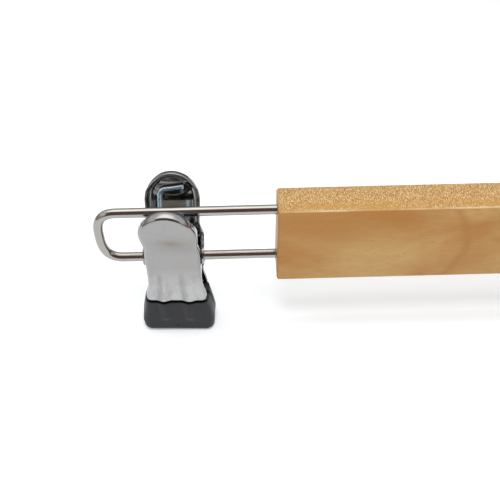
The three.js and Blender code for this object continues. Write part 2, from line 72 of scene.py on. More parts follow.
def rounded(radius, away):  # height of a circle that far from its middle
    return math.sqrt(max(radius * radius - away * away, 0.0))


def hump(share):  # 1 in the middle, falling softly to 0 at a share of 1
    return 0.5 + 0.5 * math.cos(math.pi * min(share, 1.0))


def between(start, end, steps):  # evenly spaced, both ends included
    return [mix(start, end, step / steps) for step in range(steps + 1)]


def quarterTurn(steps):
    return between(0.0, math.pi / 2, steps)


def quarterArc(x, y, reachX, reachY, steps):  # round a middle, from beside it to above or below it
    return [(x + reachX * math.cos(angle), y + reachY * math.sin(angle)) for angle in quarterTurn(steps)]


# Camera at the photograph's place: right and up are its own axes, in the hanger's frame
cameraView = {
    "lens": 43.2,
    "sensor": 36.0,
    "nearest": 0.005,
    "place": (-134.857, -139.166, 46.550),
    "right": (0.99964, -0.02331, -0.01292),
    "up": (0.02533, 0.68031, 0.73249),
}


def makeCamera():
    lens = bpy.data.cameras.new("camera")
    lens.lens = cameraView["lens"]
    lens.sensor_width = cameraView["sensor"]
    lens.clip_start = cameraView["nearest"]
    camera = bpy.data.objects.new("camera", lens)
    right = Vector(cameraView["right"]).normalized()
    up = Vector(cameraView["up"])
    up = (up - right * up.dot(right)).normalized()
    turn = Matrix((right, up, right.cross(up))).transposed()
    camera.matrix_world = Matrix.Translation(Vector(cameraView["place"]) * mm) @ turn.to_4x4()
    scene.collection.objects.link(camera)
    scene.camera = camera


makeCamera()
print("camera placed")


# Node helpers, for geometry and shader trees alike
def feed(node, values):  # a socket is linked, any other value is set
    for name, value in values.items():
        if isinstance(value, bpy.types.NodeSocket):
            node.id_data.links.new(value, node.inputs[name])
        else:
            node.inputs[name].default_value = value


def addNode(tree, kind, values=None, **settings):
    node = tree.nodes.new(kind)
    for name, value in settings.items():
        setattr(node, name, value)
    feed(node, values or {})
    return node


def startTree(name, kind, sockets):  # sockets hold name, direction, kind and start value
    tree = bpy.data.node_groups.new(name, kind)
    for label, direction, socketKind, value in sockets:
        socket = tree.interface.new_socket(label, in_out=direction, socket_type="NodeSocket" + socketKind)
        if value is not None:
            socket.default_value = value
    return tree, addNode(tree, "NodeGroupInput").outputs, addNode(tree, "NodeGroupOutput").inputs


def treeOf(*values):  # a socket knows which tree it is in
    return next(value.id_data for value in values if isinstance(value, bpy.types.NodeSocket))


def maths(operation, *values):
    node = addNode(treeOf(*values), "ShaderNodeMath", dict(enumerate(values)), operation=operation)
    return node.outputs[0]


def plus(first, second):
    return maths("ADD", first, second)


def minus(first, second):
    return maths("SUBTRACT", first, second)


def times(first, second):
    return maths("MULTIPLY", first, second)


def ramp(factor, stops, *colours):
    node = addNode(treeOf(factor), "ShaderNodeValToRGB", {"Fac": factor})
    for element, place, colour in zip(node.color_ramp.elements, stops, colours):
        element.position = place
        element.color = (*colour, 1)
    return node.outputs["Color"]


def spread(value, low, high, toLow=0.0, toHigh=1.0):
    values = {"Value": value, "From Min": low, "From Max": high, "To Min": toLow, "To Max": toHigh}
    node = addNode(treeOf(value), "ShaderNodeMapRange", values, interpolation_type="SMOOTHSTEP")
    return node.outputs["Result"]


def blendColours(factor, first, second, mode="MIX"):
    first, second = [(*colour, 1) if isinstance(colour, tuple) else colour for colour in (first, second)]
    tree = treeOf(factor, first, second)
    values = {0: factor, 6: first, 7: second}
    return addNode(tree, "ShaderNodeMix", values, data_type="RGBA", blend_type=mode).outputs[2]


def objectPlace(tree, scale=(1000, 1000, 1000), shift=(0, 0, 0), turn=(0, 0, 0)):  # 1000 gives millimetres
    source = addNode(tree, "ShaderNodeTexCoord").outputs["Object"]
    values = {"Vector": source, "Scale": scale, "Location": shift, "Rotation": turn}
    return addNode(tree, "ShaderNodeMapping", values).outputs["Vector"]


def axesOf(place):
    return addNode(treeOf(place), "ShaderNodeSeparateXYZ", {"Vector": place}).outputs


def lengthOf(place):
    return addNode(treeOf(place), "ShaderNodeVectorMath", {0: place}, operation="LENGTH").outputs["Value"]


def noiseValue(place, detail, roughness=0.5, distortion=0.0, scale=1.0):
    node = addNode(treeOf(place), "ShaderNodeTexNoise", {"Vector": place, "Scale": scale, "Detail": detail})
    feed(node, {"Roughness": roughness, "Distortion": distortion})
    return node.outputs["Fac"]


def layered(colour, *layers):  # each layer is a mask and a tone that goes over what is there
    for mask, tone in layers:
        colour = blendColours(mask, colour, tone)
    return colour


def attributeValue(tree, name):
    return addNode(tree, "ShaderNodeAttribute", attribute_name=name).outputs["Fac"]


def newMaterial(name):
    material = bpy.data.materials.new(name)
    material.use_nodes = True
    tree = material.node_tree
    return material, tree, tree.nodes["Principled BSDF"]


def bumped(height, strength, distance):
    values = {"Height": height, "Strength": strength, "Distance": distance * mm}
    return addNode(treeOf(height), "ShaderNodeBump", values).outputs["Normal"]


# Slow unevenness of a finish: one soft value and one fine one, over object coordinates
def makeUnevenness():
    tree, inside, outside = startTree("unevenness", "ShaderNodeTree", (
        ("Broad scale", "INPUT", "Float", 0.2),
        ("Fine scale", "INPUT", "Float", 3.0),
        ("Broad", "OUTPUT", "Float", None),
        ("Fine", "OUTPUT", "Float", None),
    ))
    place = objectPlace(tree)
    for name, detail in (("Broad", 2.0), ("Fine", 4.0)):
        tree.links.new(noiseValue(place, detail, scale=inside[name + " scale"]), outside[name])
    return tree


# Sparse pin-head marks such as plating pits and dust
def makeSpecks():
    tree, inside, outside = startTree("specks", "ShaderNodeTree", (
        ("Scale", "INPUT", "Float", 0.8),
        ("Size", "INPUT", "Float", 0.12),
        ("Mask", "OUTPUT", "Float", None),
    ))
    values = {"Vector": objectPlace(tree), "Scale": inside["Scale"], "Randomness": 1.0}
    cells = addNode(tree, "ShaderNodeTexVoronoi", values, feature="F1").outputs
    near = maths("LESS_THAN", cells["Distance"], inside["Size"])
    split = addNode(tree, "ShaderNodeSeparateColor", {"Color": cells["Color"]}).outputs
    chosen = maths("GREATER_THAN", split["Red"], 0.72)  # about one cell in four
    tree.links.new(times(near, chosen), outside["Mask"])
    return tree


unevenness = makeUnevenness()
specks = makeSpecks()


def placeGroup(tree, group, values):
    return addNode(tree, "ShaderNodeGroup", values, node_tree=group).outputs


# Beech: cathedral figure on the front and back, ray fleck on the top and bottom, rings on the ends
beech = {
    "light": (0.682, 0.414, 0.150),
    "dark": (0.535, 0.234, 0.049),
    "ringLine": (0.470, 0.195, 0.042),
    "fleckLight": (0.745, 0.545, 0.268),
    "fleckDark": (0.375, 0.168, 0.024),
    "streak": (0.530, 0.275, 0.060),
    # painted highlight along the eased edges of the top
    "edgeHighlight": (0.88, 0.71, 0.47),
    "endGrain": (0.40, 0.215, 0.08),
    "shadow": (0.88, 0.86, 0.83),  # tint of the deepest fibres
    "drift": (35, 60, 60),  # scales of the patterns, per metre along x, y and z
    "cloud": (34, 60, 62),
    "fibre": (300, 2600, 2600),
    "dash": (480, 2100, 2100),
    "waver": (70, 70, 70),
    "stroke": (3900, 1150, 1150),
    "warmth": (40, 520, 520),
    "strokeTurns": (0.55, -0.3),
    "cloudTurn": 0.5,
    "poreScale": 3.5,
    "fibreStops": (0.2, 0.8),  # values of a pattern between which a tone or a mask changes
    "cloudStops": (0.30, 0.66),
    "dashStops": (0.58, 0.72),
    "fleckStops": (0.44, 0.60),
    "acrossStops": (0.44, 0.56),
    "warmthStops": (0.34, 0.54),
    "endStops": (0.25, 0.8),
    "darkPatchSpread": (0.2, 1.3, 0.85, 0.0),  # the same, with what the mask is at either end
    "edgeHighlightSpread": (0.35, 0.6, 1.0, 4.0),
    "streakFrom": -1.0,
    "streakInset": 1.4,  # from the front edge to where the streak is fullest
    "streakShare": 0.7,
    "dashShare": 0.32,
    "dashSink": 0.5,
    "ringStrength": 0.45,
    "ringSpacing": 58.0,
    "ringBow": 0.028,  # how fast a ring falls back above and below the middle
    "ringVertex": -68.2,
    "ringHeight": -0.6,
    "ringWander": 3.0,
    "ringWidth": 0.045,  # share of the spacing
    "darkPatch": {"middle": (-114.0, -68.0), "reach": (26.0, 8.0)},  # darker patch, in x and z
    "endRings": {"Scale": 0.11, "Distortion": 2.5, "Detail": 2.0},
    "endMiddle": (0, 20, 58),
    "roughness": (0.36, 0.50),
    "specular": 0.25,
    "coat": 0.15,
    "coatRoughness": 0.24,
    "bump": (0.3, 0.03),
}


def makeBeech():
    material, tree, shader = newMaterial("beech")
    axes = axesOf(objectPlace(tree))
    low, high = boxInMm("wooden_bar")
    height = minus(axes["Z"], (low.z + high.z) / 2 + beech["ringHeight"])

    # Front and back: soft clouds along the grain, and one bowed growth ring after another
    drift = noiseValue(objectPlace(tree, beech["drift"]), 2.0)
    bow = times(maths("POWER", maths("ABSOLUTE", height), 2.0), beech["ringBow"])
    ring = plus(minus(axes["X"], beech["ringVertex"]), bow)
    ring = plus(ring, times(minus(drift, 0.5), beech["ringWander"]))
    ring = plus(maths("DIVIDE", ring, beech["ringSpacing"]), 0.5)
    fromRing = maths("ABSOLUTE", minus(maths("FRACT", ring), 0.5))
    line = spread(fromRing, 0.0, beech["ringWidth"], beech["ringStrength"], 0.0)
    cloudPlace = objectPlace(tree, beech["cloud"], turn=(0, beech["cloudTurn"], 0))
    cloud = noiseValue(cloudPlace, 3.0, 0.5, 0.4)
    fibre = noiseValue(objectPlace(tree, beech["fibre"]), 3.0, 0.6)
    dash = noiseValue(objectPlace(tree, beech["dash"]), 2.0)
    dashes = spread(dash, *beech["dashStops"])
    face = ramp(cloud, beech["cloudStops"], beech["dark"], beech["light"])
    (patchX, patchZ), (reachX, reachZ) = beech["darkPatch"]["middle"], beech["darkPatch"]["reach"]
    patchShift = (-patchX / reachX, 0, -patchZ / reachZ)
    fromPatch = lengthOf(objectPlace(tree, (1000 / reachX, 0, 1000 / reachZ), patchShift))
    darkPatch = spread(fromPatch, *beech["darkPatchSpread"])
    thinDashes = times(dashes, beech["dashShare"])
    face = layered(face, (darkPatch, beech["dark"]), (line, beech["ringLine"]), (thinDashes, beech["ringLine"]))

    # Top and underside: pale ray flecks, short and wavy, with a warmer streak near the front edge
    waver = noiseValue(objectPlace(tree, beech["waver"]), 2.0)
    strokePlaces = [objectPlace(tree, beech["stroke"], turn=(0, 0, turn)) for turn in beech["strokeTurns"]]
    strokes = [noiseValue(place, 1.5, 0.6, 0.9) for place in strokePlaces]
    across = spread(waver, *beech["acrossStops"])
    fleck = plus(times(minus(strokes[1], strokes[0]), across), strokes[0])
    top = ramp(fleck, beech["fleckStops"], beech["fleckDark"], beech["fleckLight"])
    warmth = noiseValue(objectPlace(tree, beech["warmth"]), 3.0, 0.6)
    fullest = low.y + beech["streakInset"]
    nearEdge = spread(axes["Y"], beech["streakFrom"], fullest, 0.0, beech["streakShare"])
    warm = times(nearEdge, spread(warmth, *beech["warmthStops"]))
    top = blendColours(warm, top, beech["streak"])

    # Ends: arcs of rings and pores
    rings = addNode(tree, "ShaderNodeTexWave", beech["endRings"], wave_type="RINGS", rings_direction="X")
    feed(rings, {"Vector": objectPlace(tree, shift=beech["endMiddle"])})
    pores = noiseValue(strokePlaces[1], 2.0, scale=beech["poreScale"])
    endTone = times(plus(rings.outputs["Fac"], pores), 0.5)
    end = ramp(endTone, beech["endStops"], beech["endGrain"], beech["dark"])

    topShare = attributeValue(tree, "topShare")
    # painted highlight on the eased edges between the top and the sides, broken up by a slow noise
    onEdge = times(topShare, minus(1.0, topShare))
    edgeHighlight = times(onEdge, spread(waver, *beech["edgeHighlightSpread"]))
    endShare = attributeValue(tree, "endShare")
    colour = layered(face, (topShare, top), (edgeHighlight, beech["edgeHighlight"]), (endShare, end))
    grain = ramp(fibre, beech["fibreStops"], beech["shadow"], white)
    feed(shader, {
        "Base Color": blendColours(1.0, colour, grain, "MULTIPLY"),
        "Roughness": spread(fibre, *beech["fibreStops"], *beech["roughness"]),
        "Specular IOR Level": beech["specular"],
        "Coat Weight": beech["coat"],
        "Coat Roughness": beech["coatRoughness"],
        "Normal": bumped(minus(fibre, times(dashes, beech["dashSink"])), *beech["bump"]),
    })
    return material


# Metal and rubber share one build: a colour that clouds over, specks, uneven gloss and a fine relief
nickel = {
    "colour": (0.385, 0.368, 0.343),
    "cloud": (0.345, 0.322, 0.292),
    "clouding": (0.35, 0.7, 0.0, 0.5),
    "scales": (0.09, 2.6),  # of the broad and the fine unevenness
    "specks": (0.55, 0.1),  # how many and how large
    "speck": (0.25, 0.22, 0.20),
    "speckShare": 0.35,
    "roughness": (0.3, 0.7, 0.06, 0.17),
    "lineScales": {"alongWire": 60.0, "aroundWire": 34.0},
    "bump": (0.12, 0.02),
}
chrome = {
    "colour": (0.462, 0.463, 0.464),
    "cloud": (0.430, 0.426, 0.422),
    "clouding": (0.35, 0.7, 0.0, 0.8),
    "scales": (0.13, 1.9),
    "specks": (0.42, 0.085),
    "speck": (0.20, 0.19, 0.18),
    "speckShare": 0.5,
    # tone of the painted reflection that darkens the upper sheet, also the tone of the scuffs
    "handled": (0.335, 0.326, 0.324),
    # tone of the painted reflection of the dark pad, round the bend
    "bendReflection": (0.255, 0.212, 0.168),
    # tone of the painted reflection on the ribs' left flanks, also of the fine mottle
    "flankReflectionAndMottle": (0.262, 0.255, 0.243),
    "stain": (0.335, 0.305, 0.262),
    "drawnScale": (1300, 1300, 130),
    "wornScale": (480, 480, 170),
    "stainScale": (230, 230, 200),
    "patchSpread": (0.3, 0.6, 0.5, 1.0),  # a pattern's limits, and what the mask is at either one
    "flankStreakSpread": (0.3, 0.7, 0.45, 0.85),
    "scuffSpread": (0.45, 0.65, 0.0, 0.55),
    "stainSpread": (0.5, 0.7, 0.0, 0.5),
    "mottleSpread": (0.4, 0.65, 0.0, 0.16),
    "ripple": 0.12,
    "roughness": (0.3, 0.75, 0.04, 0.12),
    "bump": (0.05, 0.1),
}
zinc = {
    "colour": (0.55, 0.77, 0.90),
    "cloud": (0.70, 0.83, 0.90),
    "clouding": (0.4, 0.68, 0.0, 0.8),
    "scales": (0.35, 5.0),
    "specks": (1.1, 0.12),
    "speck": (0.3, 0.34, 0.38),
    "speckShare": 0.3,
    "roughness": (0.3, 0.7, 0.21, 0.36),
    "bump": (0.1, 0.03),
}
rubber = {
    "colour": (0.021, 0.021, 0.023),
    "cloud": (0.031, 0.031, 0.033),
    "clouding": (0.35, 0.7, 0.0, 0.7),
    "scales": (0.16, 7.0),
    "specks": (0.9, 0.07),
    "speck": (0.09, 0.09, 0.09),
    "speckShare": 0.25,
    "roughness": (0.3, 0.7, 0.40, 0.58),
    "glossBy": "Broad",
    "metallic": 0.0,
    "specular": 0.32,
    "bump": (0.25, 0.03),
}


def drawnLines(tree, uneven, colour):  # faint lines along the wire
    lines = [times(attributeValue(tree, name), scale) for name, scale in nickel["lineScales"].items()]
    place = addNode(tree, "ShaderNodeCombineXYZ", dict(zip("XY", lines))).outputs["Vector"]
    return colour, noiseValue(place, 3.0, 0.6)


def sheetWearAndReflections(tree, uneven, colour):  # painted reflections: the sheet darker towards the top, a darker patch round the bend and dark streaks on the ribs' left flanks; also scuffs low down, stains, mottle and a slow ripple
    handled = attributeValue(tree, "handled")
    patchy = spread(uneven["Broad"], *chrome["patchSpread"])
    drawn = noiseValue(objectPlace(tree, chrome["drawnScale"]), 3.0, 0.6)
    worn = noiseValue(objectPlace(tree, chrome["wornScale"]), 3.0, 0.6)
    stained = noiseValue(objectPlace(tree, chrome["stainScale"]), 3.0, 0.55)
    scuffed = spread(worn, *chrome["scuffSpread"])
    colour = layered(
        colour,
        # painted reflection: the sheet darker towards the top, where it mirrors the shaded floor by the pad
        (handled, chrome["handled"]),
        # painted reflection of the dark pad and its shadow round the bend, broken up by broad noise
        (times(attributeValue(tree, "bendReflection"), patchy), chrome["bendReflection"]),
        # painted reflection: dark streaks on the ribs' left flanks
        (times(attributeValue(tree, "ribFlank"), spread(drawn, *chrome["flankStreakSpread"])), chrome["flankReflectionAndMottle"]),
        # scuffs low down, away from the painted reflection, in the same tone
        (times(minus(1.0, handled), scuffed), chrome["handled"]),
        (spread(stained, *chrome["stainSpread"]), chrome["stain"]),
        (spread(uneven["Fine"], *chrome["mottleSpread"]), chrome["flankReflectionAndMottle"]),
    )
    return colour, plus(uneven["Broad"], times(uneven["Fine"], chrome["ripple"]))


def makeCoating(name, look, marksAndReflections=None):  # the last argument adds marks, on the sheet also painted reflections, and says what the relief follows
    material, tree, shader = newMaterial(name)
    uneven = placeGroup(tree, unevenness, dict(zip(("Broad scale", "Fine scale"), look["scales"])))
    marks = placeGroup(tree, specks, dict(zip(("Scale", "Size"), look["specks"])))
    clouded = spread(uneven["Broad"], *look["clouding"])
    colour = blendColours(clouded, look["colour"], look["cloud"])
    relief = uneven["Fine"]
    if marksAndReflections:
        colour, relief = marksAndReflections(tree, uneven, colour)
    marked = times(marks["Mask"], look["speckShare"])
    feed(shader, {
        "Base Color": blendColours(marked, colour, look["speck"]),
        "Roughness": spread(uneven[look.get("glossBy", "Fine")], *look["roughness"]),
        "Metallic": look.get("metallic", 1.0),
        "Specular IOR Level": look.get("specular", 0.5),
        "Normal": bumped(relief, *look["bump"]),
    })
    return material


finishes = {
    "wood": makeBeech(),
    "nickel_wire": makeCoating("brightNickel", nickel, drawnLines),
    "chrome_sheet": makeCoating("chromeSheet", chrome, sheetWearAndReflections),
    "zinc_spring": makeCoating("blueZinc", zinc),
    "black_rubber": makeCoating("mouldedRubber", rubber),
}
print("finishes made:", ", ".join(finishes))


# Mesh helpers: points come in millimetres and the mesh is in metres
shading = {"crease": 38.0, "wireCrease": 50.0, "woodCrease": 30.0, "mergeDistance": 0.002}


def pieceFrom(name, points, faces, edges=()):
    mesh = bpy.data.meshes.new(name)
    mesh.from_pydata([tuple(Vector(point) * mm) for point in points], list(edges), faces)
    piece = bpy.data.objects.new(name, mesh)
    scene.collection.objects.link(piece)
    return piece


def closeUp(piece):  # merges doubles and turns every face outwards
    work = bmesh.new()
    work.from_mesh(piece.data)
    bmesh.ops.remove_doubles(work, verts=work.verts, dist=shading["mergeDistance"] * mm)
    bmesh.ops.dissolve_degenerate(work, edges=work.edges, dist=shading["mergeDistance"] * mm)
    bmesh.ops.recalc_face_normals(work, faces=work.faces)
    work.to_mesh(piece.data)
    work.free()


def softShade(piece, crease=shading["crease"]):
    piece.data.shade_smooth()
    piece.data.set_sharp_from_angle(angle=math.radians(crease))


def settle(piece):  # the evaluated mesh takes the place of the base mesh and its modifiers
    graph = bpy.context.evaluated_depsgraph_get()
    mesh = bpy.data.meshes.new_from_object(
        piece.evaluated_get(graph), preserve_all_data_layers=True, depsgraph=graph)
    piece.modifiers.clear()
    piece.data = mesh


def combine(piece, tool, operation):
    change = piece.modifiers.new("combine", "BOOLEAN")
    change.operation = operation
    change.solver = "EXACT"
    change.object = tool
    settle(piece)
    bpy.data.objects.remove(tool)


def takeMesh(piece):
    mesh = piece.data
    bpy.data.objects.remove(piece)
    return mesh


def storeShares(mesh, name, values):
    mesh.attributes.new(name, "FLOAT", "POINT").data.foreach_set("value", values)


def dress(piece, slot, body, *nodes):
    piece.data.materials.clear()
    piece.data.materials.append(finishes[slot])
    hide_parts(*nodes)
    if body:
        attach(piece, body)


def halfTurned(point):
    return Vector((-point[0], -point[1], point[2]))


def mirrored(points):
    return [Vector((-point.x, point.y, point.z)) for point in points]


def circle(radius, sides):
    turns = [2 * math.pi * side / sides for side in range(sides)]
    return [(radius * math.cos(turn), radius * math.sin(turn)) for turn in turns]


def ringFaces(rings, columns):
    faces = []
    for ring in range(rings - 1):
        start = ring * columns
        above = start + columns
        for column in range(columns):
            after = (column + 1) % columns
            faces.append((start + column, start + after, above + after, above + column))
    return faces


def turnedPiece(name, profile, sides=64):  # (radius, height) pairs of a closed or axis-to-axis profile
    points = [(x, y, height) for radius, height in profile for x, y in circle(radius, sides)]
    piece = pieceFrom(name, points, ringFaces(len(profile), sides))
    closeUp(piece)
    softShade(piece)
    return piece


def loftPiece(name, rings):  # skin over rings of as many points each, capped at both ends
    columns = len(rings[0])
    last = (len(rings) - 1) * columns
    faces = ringFaces(len(rings), columns)
    faces += [tuple(range(columns)), tuple(range(last, last + columns))]
    piece = pieceFrom(name, [point for ring in rings for point in ring], faces)
    closeUp(piece)
    return piece


def drill(piece, radius, start, end, sides=48):
    start, end = Vector(start), Vector(end)
    turn = (end - start).to_track_quat("Z", "Y").to_matrix()
    ring = [turn @ Vector((x, y, 0)) for x, y in circle(radius, sides)]
    tool = loftPiece("drill", [[middle + point for point in ring] for middle in (start, end)])
    combine(piece, tool, "DIFFERENCE")


# Geometry nodes: a round wire along a path of points, with its girth stated at each point
def makeWireTree():
    tree, inside, outside = startTree("roundWire", "GeometryNodeTree", (
        ("Path", "INPUT", "Geometry", None),
        ("Wire diameter", "INPUT", "Float", 0.003),
        ("Sides", "INPUT", "Int", 32),
        ("Finish", "INPUT", "Material", None),
        ("Wire", "OUTPUT", "Geometry", None),
    ))
    path = addNode(tree, "GeometryNodeMeshToCurve", {"Mesh": inside["Path"]})
    values = {"Resolution": inside["Sides"], "Radius": times(inside["Wire diameter"], 0.5)}
    section = addNode(tree, "GeometryNodeCurvePrimitiveCircle", values)
    measure = addNode(tree, "GeometryNodeSplineParameter").outputs

    def measured(curve, name, value):
        values = {"Geometry": curve.outputs["Curve"], "Name": name, "Value": value}
        return addNode(tree, "GeometryNodeStoreNamedAttribute", values, domain="POINT").outputs["Geometry"]

    girth = addNode(tree, "GeometryNodeInputNamedAttribute", {"Name": "girth"}, data_type="FLOAT")
    wire = addNode(tree, "GeometryNodeCurveToMesh", {
        "Curve": measured(path, "alongWire", measure["Length"]),
        "Profile Curve": measured(section, "aroundWire", measure["Factor"]),
        "Scale": girth.outputs["Attribute"],
        "Fill Caps": True,
    }).outputs["Mesh"]
    smooth = addNode(tree, "GeometryNodeSetShadeSmooth", {"Geometry": wire})
    real = addNode(tree, "GeometryNodeRealizeInstances", {"Geometry": smooth.outputs["Geometry"]})
    values = {"Geometry": real.outputs["Geometry"], "Material": inside["Finish"]}
    finish = addNode(tree, "GeometryNodeSetMaterial", values)
    tree.links.new(finish.outputs["Geometry"], outside["Wire"])
    return tree


wireTree = makeWireTree()
wireSockets = {item.name: item.identifier for item in wireTree.interface.items_tree}


def wirePiece(name, route, diameter, finish, sides):  # route holds (point, girth) pairs
    points = [point for point, girth in route]
    edges = [(index, index + 1) for index in range(len(points) - 1)]
    piece = pieceFrom(name, points, [], edges)
    storeShares(piece.data, "girth", [girth for point, girth in route])
    nodes = piece.modifiers.new("roundWire", "NODES")
    nodes.node_group = wireTree
    nodes[wireSockets["Wire diameter"]] = diameter * mm
    nodes[wireSockets["Sides"]] = sides
    nodes[wireSockets["Finish"]] = finishes[finish]
    settle(piece)
    closeUp(piece)
    softShade(piece, shading["wireCrease"])
    return piece


def arcRoute(centreX, centreZ, radius, fromAngle, toAngle, steps):
    points = []
    for angle in between(fromAngle, toAngle, steps):
        points.append(Vector((centreX + radius * math.cos(angle), 0, centreZ + radius * math.sin(angle))))
    return points


# Wooden bar: a block with eased edges, drilled for the loops and the hook
bar = {
    "edge": 0.85,
    "edgeSteps": 5,
    "legClearance": 0.25,
    "shankClearance": 0.3,
    "counterbore": 5.0,
    "washerDiameter": 10.0,
    "overrun": 1.0,  # how far a drill runs out of the wood
    "flatLimit": 0.9999,
    "turnLimits": (0.45, 0.9),  # parts of a normal between which one side's grain gives way to the next
}
loop = {
    "wireDiameter": 3.0,
    "sides": 36,
    "legSteps": 24,
    "endReach": 7.0,
    "endFullness": 2.8,
    "endSteps": 64,
    "seat": 0.3,
}
hook = {
    "wireDiameter": 4.0,
    "sides": 36,
    "innerRadius": 19.0,
    "neckRadius": 14.0,
    "tipAngle": 205.0,
    "tipGirth": 0.03,  # share left at the very end of the rounded tip
    "tipSteps": 8,
    "neckSteps": 20,
    "bowlSteps": 90,
}

barLow, barHigh = boxInMm("wooden_bar")
loopLow, loopHigh = boxInMm("left_wire_loop")
wireRadius = loop["wireDiameter"] / 2
upperWireZ = loopHigh.z - wireRadius
lowerWireZ = loopLow.z + wireRadius


def barBlock():
    low, high = barLow, barHigh
    corners = [(x, y, z) for x in (low.x, high.x) for y in (low.y, high.y) for z in (low.z, high.z)]
    sides = [(0, 1, 3, 2), (4, 6, 7, 5), (0, 4, 5, 1), (2, 3, 7, 6), (0, 2, 6, 4), (1, 5, 7, 3)]
    piece = pieceFrom("beechBar", corners, sides)
    closeUp(piece)
    ease = piece.modifiers.new("ease", "BEVEL")
    ease.width = bar["edge"] * mm
    ease.segments = bar["edgeSteps"]
    ease.limit_method = "NONE"
    settle(piece)
    return piece


def makeBar():
    piece = barBlock()
    holeEnd = -loopHigh.x + loop["seat"]
    outside = barHigh.x + bar["overrun"]
    for z in (upperWireZ, lowerWireZ):
        for sign in (-1, 1):
            drill(piece, wireRadius + bar["legClearance"], (sign * holeEnd, 0, z), (sign * outside, 0, z))
    under = (0, 0, barLow.z - bar["overrun"])
    shank = hook["wireDiameter"] / 2 + bar["shankClearance"]
    drill(piece, shank, under, (0, 0, barHigh.z + bar["overrun"]))
    recess = bar["washerDiameter"] / 2 + bar["shankClearance"]
    drill(piece, recess, under, (0, 0, barLow.z + bar["counterbore"]))
    closeUp(piece)
    softShade(piece, shading["woodCrease"])
    flatSides = {}  # corners of the flat sides count as flat, also round the holes
    for face in piece.data.polygons:
        if max(abs(part) for part in face.normal) > bar["flatLimit"]:
            flatSides.update((corner, face.normal) for corner in face.vertices)
    normals = [flatSides.get(vertex.index, vertex.normal) for vertex in piece.data.vertices]
    for name, axis in (("topShare", 2), ("endShare", 0)):
        shares = [smoothStep(abs(normal[axis]), *bar["turnLimits"]) for normal in normals]
        storeShares(piece.data, name, shares)
    dress(piece, "wood", "bar", "wooden_bar")


makeBar()
print("bar made")


# Wire loops: in along the top, round a full bowed end and back along the bottom
def makeLoop(name, sign, node):
    reach, power = loop["endReach"], 2 / loop["endFullness"]
    endX = loopLow.x + wireRadius + reach
    middleZ, halfGap = (upperWireZ + lowerWireZ) / 2, (upperWireZ - lowerWireZ) / 2
    bow = []
    for angle in between(math.pi / 2, -math.pi / 2, loop["endSteps"]):
        out = max(math.cos(angle), 0.0) ** power
        rise = math.copysign(abs(math.sin(angle)) ** power, angle)
        bow.append(Vector((endX - reach * out, 0, middleZ + halfGap * rise)))
    legs = between(loopHigh.x, endX, loop["legSteps"])[:-1]
    points = [Vector((x, 0, upperWireZ)) for x in legs]
    points += bow
    points += [Vector((x, 0, lowerWireZ)) for x in reversed(legs)]
    if sign > 0:
        points = [halfTurned(point) for point in points]
    route = [(point, 1.0) for point in points]
    piece = wirePiece(name, route, loop["wireDiameter"], "nickel_wire", loop["sides"])
    dress(piece, "nickel_wire", "bar", node)


makeLoop("leftLoop", -1, "left_wire_loop")
makeLoop("rightLoop", 1, "right_wire_loop")
print("loops made")


# Hook with its collar and riveted foot, the domed ferrule and the washer
hookFoot = {
    "collarDiameter": 6.6,
    "collarHeight": 2.0,
    "collarBead": 0.5,
    "beadSteps": 6,
    "headDiameter": 7.0,
    "headHeight": 1.8,
    "headRim": 0.6,
    "headFlat": 3.6,
    "headSteps": 8,
    "neckRise": 3.0,
}


def makeHook():
    radius = hook["wireDiameter"] / 2
    bowl = hook["innerRadius"] + radius
    neck = hook["neckRadius"]
    neckAngle = math.acos(neck / (neck + bowl))
    neckZ = -hook["innerRadius"] - (neck + bowl) * math.sin(neckAngle)
    tipAngle = math.radians(hook["tipAngle"])
    footZ = boxInMm("hook")[0].z
    headTop = footZ + hookFoot["headHeight"]
    rim = headTop - hookFoot["headRim"]
    points = [Vector((0, 0, rim))]
    points += arcRoute(neck, neckZ, neck, math.pi, math.pi - neckAngle, hook["neckSteps"])
    points += arcRoute(0, -hook["innerRadius"], bowl, -neckAngle, tipAngle, hook["bowlSteps"])[1:]
    route = [(point, 1.0) for point in points]
    tip = points[-1]
    onward = (tip - points[-2]).normalized()
    for girth, reach in quarterArc(0.0, 0.0, 1.0, radius, hook["tipSteps"])[1:]:
        route.append((tip + onward * reach, max(girth, hook["tipGirth"])))
    piece = wirePiece("hookWire", route, hook["wireDiameter"], "nickel_wire", hook["sides"])

    bead = hookFoot["collarBead"]
    outer = hookFoot["collarDiameter"] / 2 - bead
    collarTop = neckZ - hookFoot["neckRise"]
    collarLow = collarTop - hookFoot["collarHeight"]
    steps = hookFoot["beadSteps"]
    collar = [(0.0, collarLow)]
    collar += quarterArc(outer, collarLow + bead, bead, -bead, steps)[::-1]
    collar += quarterArc(outer, collarTop - bead, bead, bead, steps)
    collar.append((0.0, collarTop))
    combine(piece, turnedPiece("collar", collar), "UNION")

    headRadius, flat = hookFoot["headDiameter"] / 2, hookFoot["headFlat"] / 2
    head = [(0.0, headTop), (headRadius, headTop)]
    head += quarterArc(flat, rim, headRadius - flat, footZ - rim, hookFoot["headSteps"])
    head.append((0.0, footZ))
    combine(piece, turnedPiece("rivetHead", head), "UNION")
    closeUp(piece)
    softShade(piece)
    dress(piece, "nickel_wire", "hook", "hook")


ferrule = {
    "rimHeight": 1.4,
    "rimStep": 0.8,
    "topDiameter": 7.0,
    "clearance": 0.3,
    "rimEase": 0.3,
    "domeSteps": 18,
    "sides": 72,
    "washerEase": 0.15,
}
ferruleBore = hook["wireDiameter"] / 2 + ferrule["clearance"]


def easedRim(outer, low, high, ease):  # up the outside, with its corners taken off
    return [(outer - ease, low), (outer, low + ease), (outer, high - ease), (outer - ease, high)]


